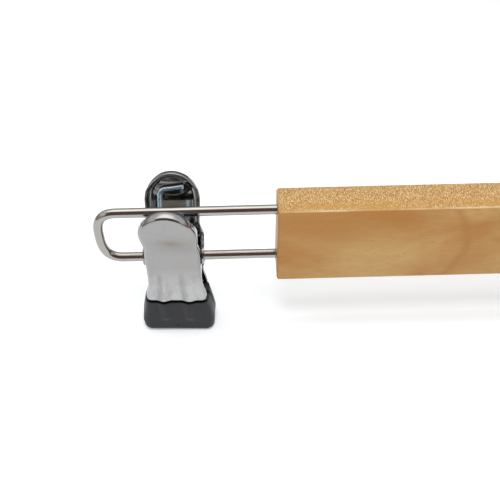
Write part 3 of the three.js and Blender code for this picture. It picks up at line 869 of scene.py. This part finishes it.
def makeFerrule():
    low, high = boxInMm("hook_ferrule")
    bore, outer, ease = ferruleBore, high.x, ferrule["rimEase"]
    rim = low.z + ferrule["rimHeight"]
    top = ferrule["topDiameter"] / 2
    profile = [(bore, low.z), *easedRim(outer, low.z, rim, ease)]
    profile += quarterArc(top, rim, outer - ferrule["rimStep"] - top, high.z - rim, ferrule["domeSteps"])
    profile += [(bore + ease, high.z), (bore, high.z - ease), (bore, low.z)]
    piece = turnedPiece("hookFerrule", profile, ferrule["sides"])
    dress(piece, "chrome_sheet", "bar", "hook_ferrule")


def makeWasher():
    low, high = boxInMm("hook_washer")
    rim = easedRim(high.x, low.z, high.z, ferrule["washerEase"])
    profile = [(ferruleBore, low.z), *rim, (ferruleBore, high.z), (ferruleBore, low.z)]
    piece = turnedPiece("hookWasher", profile)
    dress(piece, "nickel_wire", "bar", "hook_washer")


makeHook()
makeFerrule()
makeWasher()
print("hook made")


# Pressed jaws, in the clip's own frame: the pivot along X through the origin, the front jaw towards -Y
jaw = {
    "thickness": 0.8,
    "faceOffset": 5.6,
    "lean": 2.4,
    "neckLean": 22.2,
    "neckStart": 6.2,  # distances up the sheet from the pivot
    "neckBend": 12.0,
    "tabLean": 11.5,
    "tabStart": 17.5,
    "tabBend": 5.0,
    "tabBow": 0.06,  # how fast the bend below the tab climbs away from the middle
    "tabBowReach": 6.5,
    "tabHalfWidth": 8.58,
    "tabHeadHeight": 9.75,
    "tabCentre": 16.08,
    "tabTopBend": 0.95,
    "tabSideBend": 1.3,
    "tabDish": 1.2,  # how much softer the tab's bend is on the inside
    "waistHalfWidth": 8.3,
    "waistHeight": 9.0,
    "frontEar": 8.65,
    "backEar": 9.6,
    "earHalfHeight": 5.0,  # of the stretch that keeps the ears' width
    "bellyHalfWidth": 8.75,
    "bellyDrop": 8.2,
    "endHalfWidth": 9.9,
    "endStraight": 1.0,
    "drop": 15.8,
    "cornerRadius": 1.4,
    "flange": 2.3,
    "tabFlange": 2.9,
    "flangeBend": 1.7,
    "earRadius": 3.3,
    "earFlank": 2.7,
    "ribHeight": 0.75,
    "ribPlace": 0.51,
    "ribSpread": 0.33,
    "ribTop": 0.4,
    "ribFull": 9.0,
    "flankReflectionFrom": (1.0, 5.5),  # drops between which the painted reflection on the ribs' left flanks sets in
    "handledFrom": (-11.5, 1.0),  # heights between which the sheet darkens upwards, a painted reflection of the shaded floor by the pad
    # where the painted reflection round the bend lies and how far it reaches
    "bendReflectionHeight": 12.6,
    "bendReflectionReach": (4.2, 2.4),
    "edgeRound": 0.3,
    "edgeSteps": 3,
    "lipShares": (-0.7, 0.0, 0.7),  # where the lip's points lie across the thickness
    "pivotClearance": 0.3,
    "pivotOverrun": 1.0,
    "headSteps": 28,
    "sideSteps": 26,
    "flankSteps": 8,
    "earSteps": 20,
    "lowerSteps": 20,
    "faceSteps": 24,
    "bendSteps": 8,
    "cornerSteps": 12,
}
lowerLean = math.radians(jaw["lean"])
neckLean = math.radians(jaw["neckLean"])
tabLean = math.radians(jaw["tabLean"])
tabCentre = jaw["tabCentre"]
sheetFoot = -jaw["drop"] / math.cos(lowerLean)
earRadius = jaw["earRadius"]
earEnd = earRadius + jaw["earFlank"]


def sheetAt(along, climb=0.0):  # outer face from the side: how far out, how high, and its lean
    outward, height, lean = jaw["faceOffset"], 0.0, lowerLean
    reached = 0.0
    neck = (jaw["neckStart"], jaw["neckBend"], neckLean)
    tab = (jaw["tabStart"] + climb, jaw["tabBend"], tabLean)
    for middle, radius, nextLean in (neck, tab):
        halfBend = radius * abs(nextLean - lean) / 2
        straight = min(along, middle - halfBend) - reached
        outward += straight * math.sin(lean)
        height += straight * math.cos(lean)
        if along <= middle - halfBend:
            return outward, height, lean
        share = min((along - middle + halfBend) / (2 * halfBend), 1.0)
        reachedLean = mix(lean, nextLean, share)
        signed = math.copysign(radius, nextLean - lean)
        outward += signed * (math.cos(lean) - math.cos(reachedLean))
        height += signed * (math.sin(reachedLean) - math.sin(lean))
        lean = reachedLean
        reached = middle + halfBend
        if along <= reached:
            return outward, height, lean
    beyond = along - reached
    return outward + beyond * math.sin(lean), height + beyond * math.cos(lean), lean


def onSheet(across, along, inward):
    climb = jaw["tabBow"] * min(abs(across), jaw["tabBowReach"]) ** 2
    outward, height, lean = sheetAt(along, climb)
    return Vector((across, -outward + inward * math.cos(lean), height + inward * math.sin(lean)))


def halfWidthAt(along, ear):  # round head, narrow waist, ears, then a flare at the foot
    waist, belly = jaw["waistHalfWidth"], jaw["bellyHalfWidth"]
    if along >= jaw["waistHeight"]:
        return mix(waist, jaw["tabHalfWidth"], smoothStep(along, jaw["waistHeight"], tabCentre))
    if along >= 0:
        return mix(ear, waist, smoothStep(along, jaw["earHalfHeight"], jaw["waistHeight"]))
    if along >= -jaw["bellyDrop"]:
        return mix(ear, belly, smoothStep(-along, jaw["earHalfHeight"], jaw["bellyDrop"]))
    flare = smoothStep(-along, jaw["bellyDrop"], -sheetFoot - jaw["endStraight"])
    return mix(belly, jaw["endHalfWidth"], flare)


def flangeDepthAt(along):  # a plain lip that grows into a round ear at the pivot
    away = abs(along)
    earCentre = sheetAt(along)[0]
    if away <= earRadius:
        return earCentre + rounded(earRadius, away)
    return mix(earCentre, jaw["flange"], smoothStep(away, earRadius, earEnd))


def faceLift(along, share):  # how far the ribs stand proud of the face
    fromRib = abs(abs(share) - jaw["ribPlace"]) / jaw["ribSpread"]
    return jaw["ribHeight"] * smoothStep(-along, jaw["ribTop"], jaw["ribFull"]) * hump(fromRib)


def jawStations():  # places down the side of the jaw, closest together round the ear
    lowest = sheetFoot + jaw["edgeRound"]
    stations = between(tabCentre, earEnd, jaw["sideSteps"])[:-1]
    stations += between(earEnd, earRadius, jaw["flankSteps"])[:-1]
    stations += [earRadius * math.cos(angle) for angle in between(0.0, math.pi, jaw["earSteps"])]
    stations += between(-earRadius, -earEnd, jaw["flankSteps"])[1:]
    return stations + between(-earEnd, lowest, jaw["lowerSteps"])[1:]


def headPlace(angle):  # round the tab, from its top to its side
    across, up = math.cos(angle), math.sin(angle)
    outward = Vector((across / jaw["tabHalfWidth"], up / jaw["tabHeadHeight"])).normalized()
    return {
        "x": jaw["tabHalfWidth"] * across,
        "along": tabCentre + jaw["tabHeadHeight"] * up,
        "inX": -outward.x,
        "inAlong": -outward.y,
        "depth": jaw["tabFlange"],
        "bend": mix(jaw["tabSideBend"], jaw["tabTopBend"], up * up),
        "dish": jaw["tabDish"],
        "squeeze": 0.0,
    }


def sidePlace(along, squeeze, ear, nudge=0.01):  # below the tab, down to the foot
    slope = (halfWidthAt(along + nudge, ear) - halfWidthAt(along - nudge, ear)) / (2 * nudge)
    length = math.hypot(1, slope)
    tabShare = smoothStep(along, earEnd, tabCentre)
    return {
        "x": halfWidthAt(along, ear),
        "along": along,
        "inX": -1 / length,
        "inAlong": slope / length,
        "depth": mix(flangeDepthAt(along), jaw["tabFlange"], tabShare),
        "bend": mix(jaw["flangeBend"], jaw["tabSideBend"], tabShare),
        "dish": jaw["tabDish"] * tabShare,
        "squeeze": squeeze,
    }


def jawPlaces(ear):
    places = [headPlace(angle) for angle in quarterTurn(jaw["headSteps"])[:0:-1]]
    places += [sidePlace(along, 0.0, ear) for along in jawStations()]
    edge = jaw["edgeRound"]
    foot = quarterArc(edge, sheetFoot + edge, -edge, -edge, jaw["edgeSteps"])[1:]
    return places + [sidePlace(along, squeeze, ear) for squeeze, along in foot]


def skinRow(place, offset):  # right flange's edge to the middle, that far off the sheet's middle surface
    half = jaw["thickness"] / 2
    bend = place["bend"] + place["dish"] * max(offset / half, 0.0)
    radius = bend - half - offset

    def at(inset, inward):
        x = max(place["x"] + inset * place["inX"], 0.0)
        return x, place["along"] + inset * place["inAlong"], inward

    spots = []
    edgeDrop = jaw["edgeRound"] * (1 - rounded(1.0, min(abs(offset) / half, 1.0)))
    for share in (0.0, 0.5, 1.0):
        spots.append(at(half + offset, mix(place["depth"] - edgeDrop, bend, share)))
    spots += [at(*spot) for spot in quarterArc(bend, bend, -radius, -radius, jaw["bendSteps"])[1:-1]]
    row = [onSheet(*spot) for spot in spots]
    flatX, flatAlong, flatInward = at(bend, half + offset)
    for share in between(1.0, 0.0, jaw["faceSteps"]):
        row.append(onSheet(flatX * share, flatAlong, flatInward - faceLift(flatAlong, share)))
    return row


def jawRing(place):
    half = jaw["thickness"] / 2 - place["squeeze"]
    outer = skinRow(place, -half)
    inner = skinRow(place, half)
    lip = [skinRow(place, half * share)[0] for share in jaw["lipShares"]]
    wholeOuter = outer + mirrored(outer[-2::-1])
    wholeInner = inner + mirrored(inner[-2::-1])
    return wholeOuter + mirrored(lip) + wholeInner[::-1] + lip[::-1], len(wholeOuter)


def cornerTool(sign):  # what comes off a lower corner to round it
    radius = jaw["cornerRadius"]
    inside = jaw["endHalfWidth"] - radius
    outside = jaw["endHalfWidth"] + radius
    top = -jaw["drop"] + radius
    outline = [(inside, -jaw["drop"] - radius), (outside, -jaw["drop"] - radius), (outside, top)]
    outline += quarterArc(inside, top, radius, -radius, jaw["cornerSteps"])
    reach = 2 * jaw["faceOffset"]
    return loftPiece("cornerTool", [[(sign * x, y, z) for x, z in outline] for y in (-reach, reach)])


def ribFlankAt(point, ear):  # 1 where a rib's left side is steepest, for the painted reflection there
    wide = halfWidthAt(point.z, ear) - jaw["flangeBend"]
    pastRib = (point.x / wide - math.copysign(jaw["ribPlace"], point.x)) / jaw["ribSpread"]
    if point.z > 0 or not -1 < pastRib < 0:
        return 0.0
    return smoothStep(-point.z, *jaw["flankReflectionFrom"]) * math.sin(-math.pi * pastRib)


def bendReflectionAt(point):  # painted reflection of the dark pad and its shadow, round the bend below the tab
    wide, high = jaw["bendReflectionReach"]
    return math.exp(-(point.x / wide) ** 2 - ((point.z - jaw["bendReflectionHeight"]) / high) ** 2)


def jawMesh(ear):
    rings = []
    for place in jawPlaces(ear):
        ring, skin = jawRing(place)
        rings.append(ring)
    columns = len(rings[0])
    faces = ringFaces(len(rings), columns)
    last = (len(rings) - 1) * columns
    innerStart = last + columns // 2
    innerEnd = innerStart + skin - 1
    for column in range(skin - 1):
        outer, inner = last + column, innerEnd - column
        faces.append((outer, outer + 1, inner - 1, inner))
    faces.append(tuple(range(last + skin - 1, innerStart + 1)))
    faces.append(tuple(range(innerEnd, last + columns)) + (last,))
    piece = pieceFrom("jawBlank", [point for ring in rings for point in ring], faces)
    closeUp(piece)
    through = ear + jaw["pivotOverrun"]
    drill(piece, wireRadius + jaw["pivotClearance"], (-through, 0, 0), (through, 0, 0))
    combine(piece, cornerTool(1), "DIFFERENCE")
    combine(piece, cornerTool(-1), "DIFFERENCE")
    closeUp(piece)
    mesh = takeMesh(piece)
    places = [vertex.co / mm for vertex in mesh.vertices]
    storeShares(mesh, "ribFlank", [ribFlankAt(place, ear) for place in places])
    # mask of the painted reflection that darkens the sheet towards the top
    storeShares(mesh, "handled", [smoothStep(place.z, *jaw["handledFrom"]) for place in places])
    storeShares(mesh, "bendReflection", [bendReflectionAt(place) for place in places])
    return mesh


# Rubber pads: a soft-cornered block under the sheet's edge, with a tongue that runs up behind the sheet
pad = {
    "depth": 14.48,
    "cheek": 2.35,
    "cheekTop": 0.65,  # how far the cheeks stand out at the top edge
    "cheekFace": 0.35,  # the same at the outer face
    "taper": 0.2,
    "ledgeGap": 0.8,
    "shoulder": 9.5,
    "tongue": 6.8,
    "face": 5.5,
    "setBack": 0.3,
    "contactHeight": 10.5,
    "topRelief": 1.5,
    "corner": 2.0,
    "upright": 2.4,
    "uprightTop": 1.6,
    "foot": 1.6,
    "toe": 0.5,
    "toeShare": 0.3,  # largest shares of the thickness that the roundings take
    "uprightShare": 0.6,
    "slantFrom": (0.15, 0.85),  # shares of the thickness between which the shoulders fall
    "faceLimit": 0.001,  # points this close to the outer face count as on it
    "seat": 0.3,
    "tongueRound": 0.4,
    "topEase": 0.2,
    "easeAngles": (0.52, 1.05, math.pi / 2),
    "slotDepth": 1.4,  # slot that the sheet's edge stands in
    "slotOuter": 5.05,
    "slotInner": 3.95,
    "slotReach": 0.25,
    "bulge": 0.75,  # two soft swellings in line with the ribs of the sheet
    "bulgePlace": 4.2,
    "bulgeSpread": 2.7,
    "bulgeFoot": 4.8,
    "bulgeFade": 2.4,
    "gateMark": 0.3,  # shallow print of the mould's gate
    "gateRise": 3.1,
    "gateRadius": 1.3,
    "gateSquash": 1.8,
    "steps": {"corner": 12, "side": 16, "shoulder": 14, "tongue": 5, "slot": 60,
              "inner": 6, "toe": 4, "flank": 4, "upright": 8, "outer": 28},
}
padEdge = -jaw["drop"] - pad["ledgeGap"]
padFoot = -jaw["drop"] - pad["depth"]
padTop = -jaw["drop"] + pad["tongue"]
padHalfWidth = jaw["endHalfWidth"] + pad["cheek"]
padShoulderZ = padEdge - pad["shoulder"]


def padClimb(z):  # 0 below the shoulders, 1 at the top of the block
    return max((z - padShoulderZ) / pad["shoulder"], 0.0)


def easedCorner(radius, rise):  # how far a round corner falls back, that far above its foot
    return radius - rounded(radius, max(radius - rise, 0.0))


def padHalfWidthAt(z):
    footX = padHalfWidth - pad["taper"]
    cornerZ = padFoot + pad["corner"]
    if z < cornerZ:
        return footX - easedCorner(pad["corner"], z - padFoot)
    if z < padShoulderZ:
        return mix(footX, padHalfWidth, (z - cornerZ) / (padShoulderZ - cornerZ))
    return padHalfWidth - (pad["cheek"] - pad["cheekTop"]) * padClimb(z) ** 2


def padInner(z):  # inner face from the wire plane
    rise = z - padFoot
    above = max(rise - pad["contactHeight"], 0.0)
    relief = pad["topRelief"] * above / (padTop - padFoot - pad["contactHeight"])
    return pad["seat"] / 2 + easedCorner(pad["toe"], rise) + relief


def padOuter(z):
    return pad["face"] - easedCorner(pad["foot"], z - padFoot) - pad["setBack"] * padClimb(z) ** 2


def halfSection(wide, inner, outer, corner):  # middle of the inner face round to the middle of the outer
    toe = min(pad["toe"], (outer - inner) * pad["toeShare"])
    steps = pad["steps"]
    half = [(x, inner) for x in between(0.0, wide - toe, steps["inner"])[:-1]]
    half += quarterArc(wide - toe, inner + toe, toe, -toe, steps["toe"])[::-1]
    half += [(wide, depth) for depth in between(inner + toe, outer - corner, steps["flank"])[1:-1]]
    half += quarterArc(wide - corner, outer - corner, corner, corner, steps["upright"])
    return half + [(x, outer) for x in between(wide - corner, 0.0, steps["outer"])[1:]]


def faceRelief(x, z):  # how far the outer face swells or sinks
    rise = z - padFoot
    fromBulge = abs(x - pad["bulgePlace"]) / pad["bulgeSpread"]
    fade = smoothStep(rise, pad["bulgeFoot"], pad["bulgeFoot"] + pad["bulgeFade"])
    fromGate = math.hypot(x, (rise - pad["gateRise"]) * pad["gateSquash"]) / pad["gateRadius"]
    return pad["bulge"] * fade * hump(fromBulge) - pad["gateMark"] * hump(fromGate)


def wholeSection(half, z):
    right = [Vector((x, -depth, z)) for x, depth in half]
    return right + mirrored(right[-2:0:-1])


def blockSection(z, inset=0.0):
    inner = padInner(z)
    outer = padOuter(z) - inset
    wide = padHalfWidthAt(z) - inset
    faceWide = padHalfWidth - (pad["cheek"] - pad["cheekFace"]) * padClimb(z)
    slant = min(faceWide / padHalfWidthAt(z), 1.0)  # shoulders fall towards the outer face
    corner = min(mix(pad["upright"], pad["uprightTop"], padClimb(z)), (outer - inner) * pad["uprightShare"])
    half = []
    for x, depth in halfSection(wide, inner, outer, corner):
        if depth > outer - pad["faceLimit"]:
            depth += faceRelief(x, z)
        x *= mix(1.0, slant, smoothStep((depth - inner) / (outer - inner), *pad["slantFrom"]))
        half.append((x, depth))
    return wholeSection(half, z)


def tongueSection(z, inset=0.0):
    outer = sheetAt(sheetFoot)[0] - jaw["thickness"] - pad["seat"] - inset
    wide = jaw["frontEar"] - jaw["thickness"] - pad["seat"] - inset
    return wholeSection(halfSection(wide, padInner(z), outer, pad["tongueRound"]), z)


def slotTool():  # follows the ribs of the sheet and the bends at its sides
    flat = jaw["endHalfWidth"] - jaw["flangeBend"]
    bend = jaw["flangeBend"] + pad["slotReach"]
    fronts = []
    backs = []
    for angle in between(-math.pi / 2, math.pi / 2, pad["steps"]["slot"]):
        x = (flat + bend) * math.sin(angle)
        lift = faceLift(sheetFoot, x / flat)
        front = pad["slotOuter"] + lift - bend + rounded(bend, max(abs(x) - flat, 0.0))
        fronts.append((x, -front))
        backs.append((x, -min(pad["slotInner"] + lift, front - pad["slotReach"])))
    outline = fronts + backs[::-1]
    heights = (padEdge - pad["slotDepth"], padTop)
    return loftPiece("slotTool", [[(x, y, z) for x, y in outline] for z in heights])


def padMesh():
    ease, steps = pad["topEase"], pad["steps"]
    easing = [(ease * math.sin(angle), ease * (1 - math.cos(angle))) for angle in pad["easeAngles"]]
    cornerZ = padFoot + pad["corner"]
    heights = [cornerZ - pad["corner"] * math.cos(angle) for angle in quarterTurn(steps["corner"])]
    heights += between(cornerZ, padShoulderZ, steps["side"])[1:]
    heights += between(padShoulderZ, padEdge - ease, steps["shoulder"])[1:]
    rings = [blockSection(z) for z in heights]
    rings += [blockSection(padEdge - ease + rise, inset) for rise, inset in easing]
    rings += [tongueSection(z) for z in between(padEdge, padTop - ease, steps["tongue"])]
    rings += [tongueSection(padTop - ease + rise, inset) for rise, inset in easing]
    piece = loftPiece("padBlank", rings)
    combine(piece, slotTool(), "DIFFERENCE")
    closeUp(piece)
    return takeMesh(piece)


# Torsion spring: back leg, coil round the lower wire and front leg, as two halves that meet in the coil
spring = {
    "wireDiameter": 1.5,
    "sides": 20,
    "coilGap": 0.58,
    "fullTurns": 3,
    "coilClearance": 0.6,
    "seat": 0.3,
    "legFoot": 8.3,  # distances up the sheet
    "legTop": 20.2,
    "legReach": 8.0,
    "legBend": 2.0,
    "endTilt": 8.0,
    "endEase": 0.18,
    "endGirth": 0.8,
    "stepsPerTurn": 40,
    "steps": {"end": 8, "bend": 12, "leg": 16, "join": 6},
    "legTurnStart": 3.6,  # heights between which a leg starts to follow its jaw
    "legTurnEnd": 9.5,
}


def springRoute():  # the back half, from the bent end of the leg to the middle of the coil
    radius = spring["wireDiameter"] / 2
    coilRadius = wireRadius + spring["coilClearance"] + radius
    inset = jaw["thickness"] + spring["seat"] + radius
    legFoot, legTop, bend = spring["legFoot"], spring["legTop"], spring["legBend"]
    steps = spring["steps"]

    def onBack(across, along):
        return halfTurned(onSheet(-across, along, inset))

    knee = onBack(0, legFoot)
    legLean = math.acos(coilRadius / math.hypot(knee.y, knee.z)) - math.atan2(knee.z, knee.y)
    sweep = math.pi * (2 * spring["fullTurns"] + 1) - 2 * legLean
    legX = (spring["wireDiameter"] + spring["coilGap"]) * sweep / (4 * math.pi)
    tilt = math.radians(spring["endTilt"])
    bent = []
    for angle in between(math.pi / 2 + tilt, math.pi, steps["bend"]):
        bent.append((-legX + bend * (1 + math.cos(angle)), legTop - bend * (1 - math.sin(angle))))
    points = []
    for length in between(spring["legReach"] - bend, 0.0, steps["end"])[:-1]:
        points.append(onBack(bent[0][0] + length * math.cos(tilt), bent[0][1] + length * math.sin(tilt)))
    points += [onBack(across, along) for across, along in bent]
    points += [onBack(-legX, along) for along in between(legTop - bend, legFoot, steps["leg"])[1:]]
    coilSteps = round(spring["stepsPerTurn"] * sweep / (2 * math.pi) / 2)
    coil = []
    for share in between(0.0, 0.5, coilSteps):
        angle = -legLean - sweep * share
        across = mix(-legX, legX, share)
        coil.append(Vector((across, coilRadius * math.cos(angle), coilRadius * math.sin(angle))))
    points += [points[-1].lerp(coil[0], share) for share in between(0.0, 1.0, steps["join"])[1:-1]]
    return points + coil


def springPiece(name, points):
    onward = (points[1] - points[0]).normalized()
    route = [(points[0], spring["endGirth"]), (points[0] + onward * spring["endEase"], 1.0)]
    route += [(point, 1.0) for point in points[1:]]
    return wirePiece(name, route, spring["wireDiameter"], "zinc_spring", spring["sides"])


def clipPiece(name, mesh, seat, turned):
    piece = bpy.data.objects.new(name, mesh.copy())
    scene.collection.objects.link(piece)
    turn = Matrix.Rotation(math.pi, 4, "Z") if turned else Matrix.Identity(4)
    lift = Matrix.Translation(seat.translation * mm) @ seat.to_3x3().to_4x4()
    piece.data.transform(lift @ turn)
    softShade(piece)
    return piece


# The clips hang loose on their wires: a little turn and shift that the holes in the ears allow
clipPlay = {
    "left": {"roll": 1.2, "yaw": -1.2, "shift": -0.15, "springShift": -0.5},
    "right": {"roll": 0.0, "yaw": 0.0, "shift": 0.0, "springShift": 0.0},
}


def clipSeat(side):
    low, high = boxInMm(side + "_front_pad")
    play = clipPlay[side]
    place = Matrix.Translation(((low.x + high.x) / 2 + play["shift"], 0, lowerWireZ))
    yaw = Matrix.Rotation(math.radians(play["yaw"]), 4, "Z")
    return place @ yaw @ Matrix.Rotation(math.radians(play["roll"]), 4, "Y")


def makeClips():
    meshes = {"front": jawMesh(jaw["frontEar"]), "back": jawMesh(jaw["backEar"])}
    padShape = padMesh()
    backHalf = springRoute()
    frontHalf = [halfTurned(point) for point in backHalf]
    for side in ("left", "right"):
        seat = clipSeat(side)
        springSeat = seat @ Matrix.Translation((clipPlay[side]["springShift"], 0, 0))
        for facing, half in (("front", frontHalf), ("back", backHalf)):
            body = f"{side}_{facing}_jaw"
            turned = facing == "back"
            sheet = clipPiece(f"{side}{facing.title()}Jaw", meshes[facing], seat, turned)
            dress(sheet, "chrome_sheet", body, body)
            block = clipPiece(f"{side}{facing.title()}Pad", padShape, seat, turned)
            dress(block, "black_rubber", body, f"{side}_{facing}_pad")
            leg = springPiece(f"{side}{facing.title()}SpringLeg", [springSeat @ point for point in half])
            dress(leg, "zinc_spring", None, f"{side}_spring")
            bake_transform(leg)


makeClips()
print("clips made")


# Studio: pale floor, soft light from above, and cards that show only in reflections
studio = {
    "floorHalfSize": 4000.0,
    "floorGap": 0.05,
    "floorColour": (0.895, 0.925, 0.95),
    "floorRoughness": 0.9,
    "floorGlow": 0.28,
    "floorFade": (290, 720),  # the floor thins out to white between these distances
    "worldFill": 0.36,
    "topLight": {"place": (-120, 40, 520), "aim": (-120, 40, -90), "size": (1100, 260), "power": 2.1},
    "frontLight": {"place": (-110, -206, 434), "aim": (-110, 0, -90), "size": (260, 110), "power": 1.35},
    "darkTone": ((0.145, 0.142, 0.152), (0.185, 0.122, 0.098)),  # of the front card, low down and higher up
    "darkClimb": (-80, 90),
    "frontMiddle": -150,
    "frontFade": (350, 1000),  # the dark thins out to white between these distances to either side
    "skyGlow": 2.6,  # at its middle, falling to plain white at its edges
    "skyMiddle": (-150, 130),
    "skyReach": (700, 360),
}
cards = {
    "frontCard": ((-1500, -620, -114), (1200, -620, -114), (1200, -300, 820), (-1500, -300, 820)),
    "leftCard": ((-560, 400, -114), (-560, -620, -114), (-560, -620, 330), (-560, 400, 330)),
    "rightCard": ((420, -620, -114), (420, 400, -114), (420, 400, 330), (420, -620, 330)),
    "backCard": ((1400, 700, -114), (-1400, 700, -114), (-1400, 700, 620), (1400, 700, 620)),
    "skyCard": ((-1400, -170, 520), (1100, -170, 520), (1100, 700, 520), (-1400, 700, 520)),
}
cardFades = {  # heights that a card changes tone between, and the two tones
    "leftCard": ((-20, 190), (0.46, 0.43, 0.40), white),
    "rightCard": ((-20, 190), (0.34, 0.28, 0.24), white),
    "backCard": ((60, 240), (0.13, 0.13, 0.14), (0.75, 0.75, 0.75)),
}


def seenRay(tree):  # 1 for rays from the camera, off a shiny surface or through a clear one
    path = addNode(tree, "ShaderNodeLightPath")
    seen = maths("MAXIMUM", path.outputs["Is Camera Ray"], path.outputs["Is Glossy Ray"])
    return maths("MAXIMUM", seen, path.outputs["Is Transmission Ray"])


def makeWorld():
    world = bpy.data.worlds.new("studio")
    scene.world = world
    world.use_nodes = True
    tree = world.node_tree
    strength = times(seenRay(tree), 1.0 - studio["worldFill"])
    strength = plus(strength, studio["worldFill"])
    feed(tree.nodes["Background"], {"Color": (*white, 1), "Strength": strength})


def makeFloor():
    size = studio["floorHalfSize"]
    floorZ = boxInMm("left_front_pad")[0].z - studio["floorGap"]
    points = [(-size, -size, floorZ), (size, -size, floorZ), (size, size, floorZ), (-size, size, floorZ)]
    floor = pieceFrom("floor", points, [(0, 1, 2, 3)])
    material, tree, shader = newMaterial("paleFloor")
    fromMiddle = lengthOf(objectPlace(tree, (1000, 1000, 0)))
    far = spread(fromMiddle, *studio["floorFade"], 0.0, 1.0 - studio["floorGlow"])
    far = times(far, addNode(tree, "ShaderNodeLightPath").outputs["Is Camera Ray"])
    near = times(seenRay(tree), studio["floorGlow"])
    feed(shader, {
        "Base Color": (*studio["floorColour"], 1),
        "Roughness": studio["floorRoughness"],
        "Specular IOR Level": 0.0,
        "Emission Color": (*white, 1),
        "Emission Strength": plus(near, far),
    })
    floor.data.materials.append(material)


def makeLight(name):
    light = studio[name]
    lamp = bpy.data.lights.new(name, "AREA")
    lamp.shape = "RECTANGLE"
    lamp.size = light["size"][0] * mm
    lamp.size_y = light["size"][1] * mm
    lamp.energy = light["power"]
    piece = bpy.data.objects.new(name, lamp)
    piece.visible_glossy = False
    place = Vector(light["place"]) * mm
    aim = Vector(light["aim"]) * mm
    turn = (aim - place).to_track_quat("-Z", "Y")
    piece.matrix_world = Matrix.Translation(place) @ turn.to_matrix().to_4x4()
    scene.collection.objects.link(piece)


def makeCard(name):  # shows only in reflections
    piece = pieceFrom(name, cards[name], [(0, 1, 2, 3)])
    material, tree, shader = newMaterial(name)
    tree.nodes.remove(shader)
    glow = addNode(tree, "ShaderNodeEmission", {"Strength": 1.0})
    feed(tree.nodes["Material Output"], {"Surface": glow.outputs["Emission"]})
    piece.data.materials.append(material)
    for ray in ("camera", "diffuse", "shadow", "transmission"):
        setattr(piece, "visible_" + ray, False)
    return tree, glow


def makeFrontCard():
    tree, glow = makeCard("frontCard")
    axes = axesOf(objectPlace(tree, shift=(-studio["frontMiddle"], 0, 0)))
    tone = blendColours(spread(axes["Z"], *studio["darkClimb"]), *studio["darkTone"])
    aside = spread(maths("ABSOLUTE", axes["X"]), *studio["frontFade"])
    feed(glow, {"Color": blendColours(aside, tone, white)})


def makeFadingCard(name):  # dark along the floor, paler above
    tree, glow = makeCard(name)
    heights, lowTone, highTone = cardFades[name]
    above = spread(axesOf(objectPlace(tree))["Z"], *heights)
    feed(glow, {"Color": blendColours(above, lowTone, highTone)})


def makeSkyCard():
    tree, glow = makeCard("skyCard")
    (middleX, middleY), (reachX, reachY) = studio["skyMiddle"], studio["skyReach"]
    place = objectPlace(tree, (1000 / reachX, 1000 / reachY, 0), (-middleX / reachX, -middleY / reachY, 0))
    pool = addNode(tree, "ShaderNodeTexGradient", {"Vector": place}, gradient_type="SPHERICAL")
    feed(glow, {"Strength": spread(pool.outputs["Fac"], 0.0, 0.8, 1.0, studio["skyGlow"])})


makeWorld()
makeFloor()
makeLight("topLight")
makeLight("frontLight")
makeFrontCard()
for cardName in cardFades:
    makeFadingCard(cardName)
makeSkyCard()
scene.view_settings.view_transform = "Standard"
print("studio made")
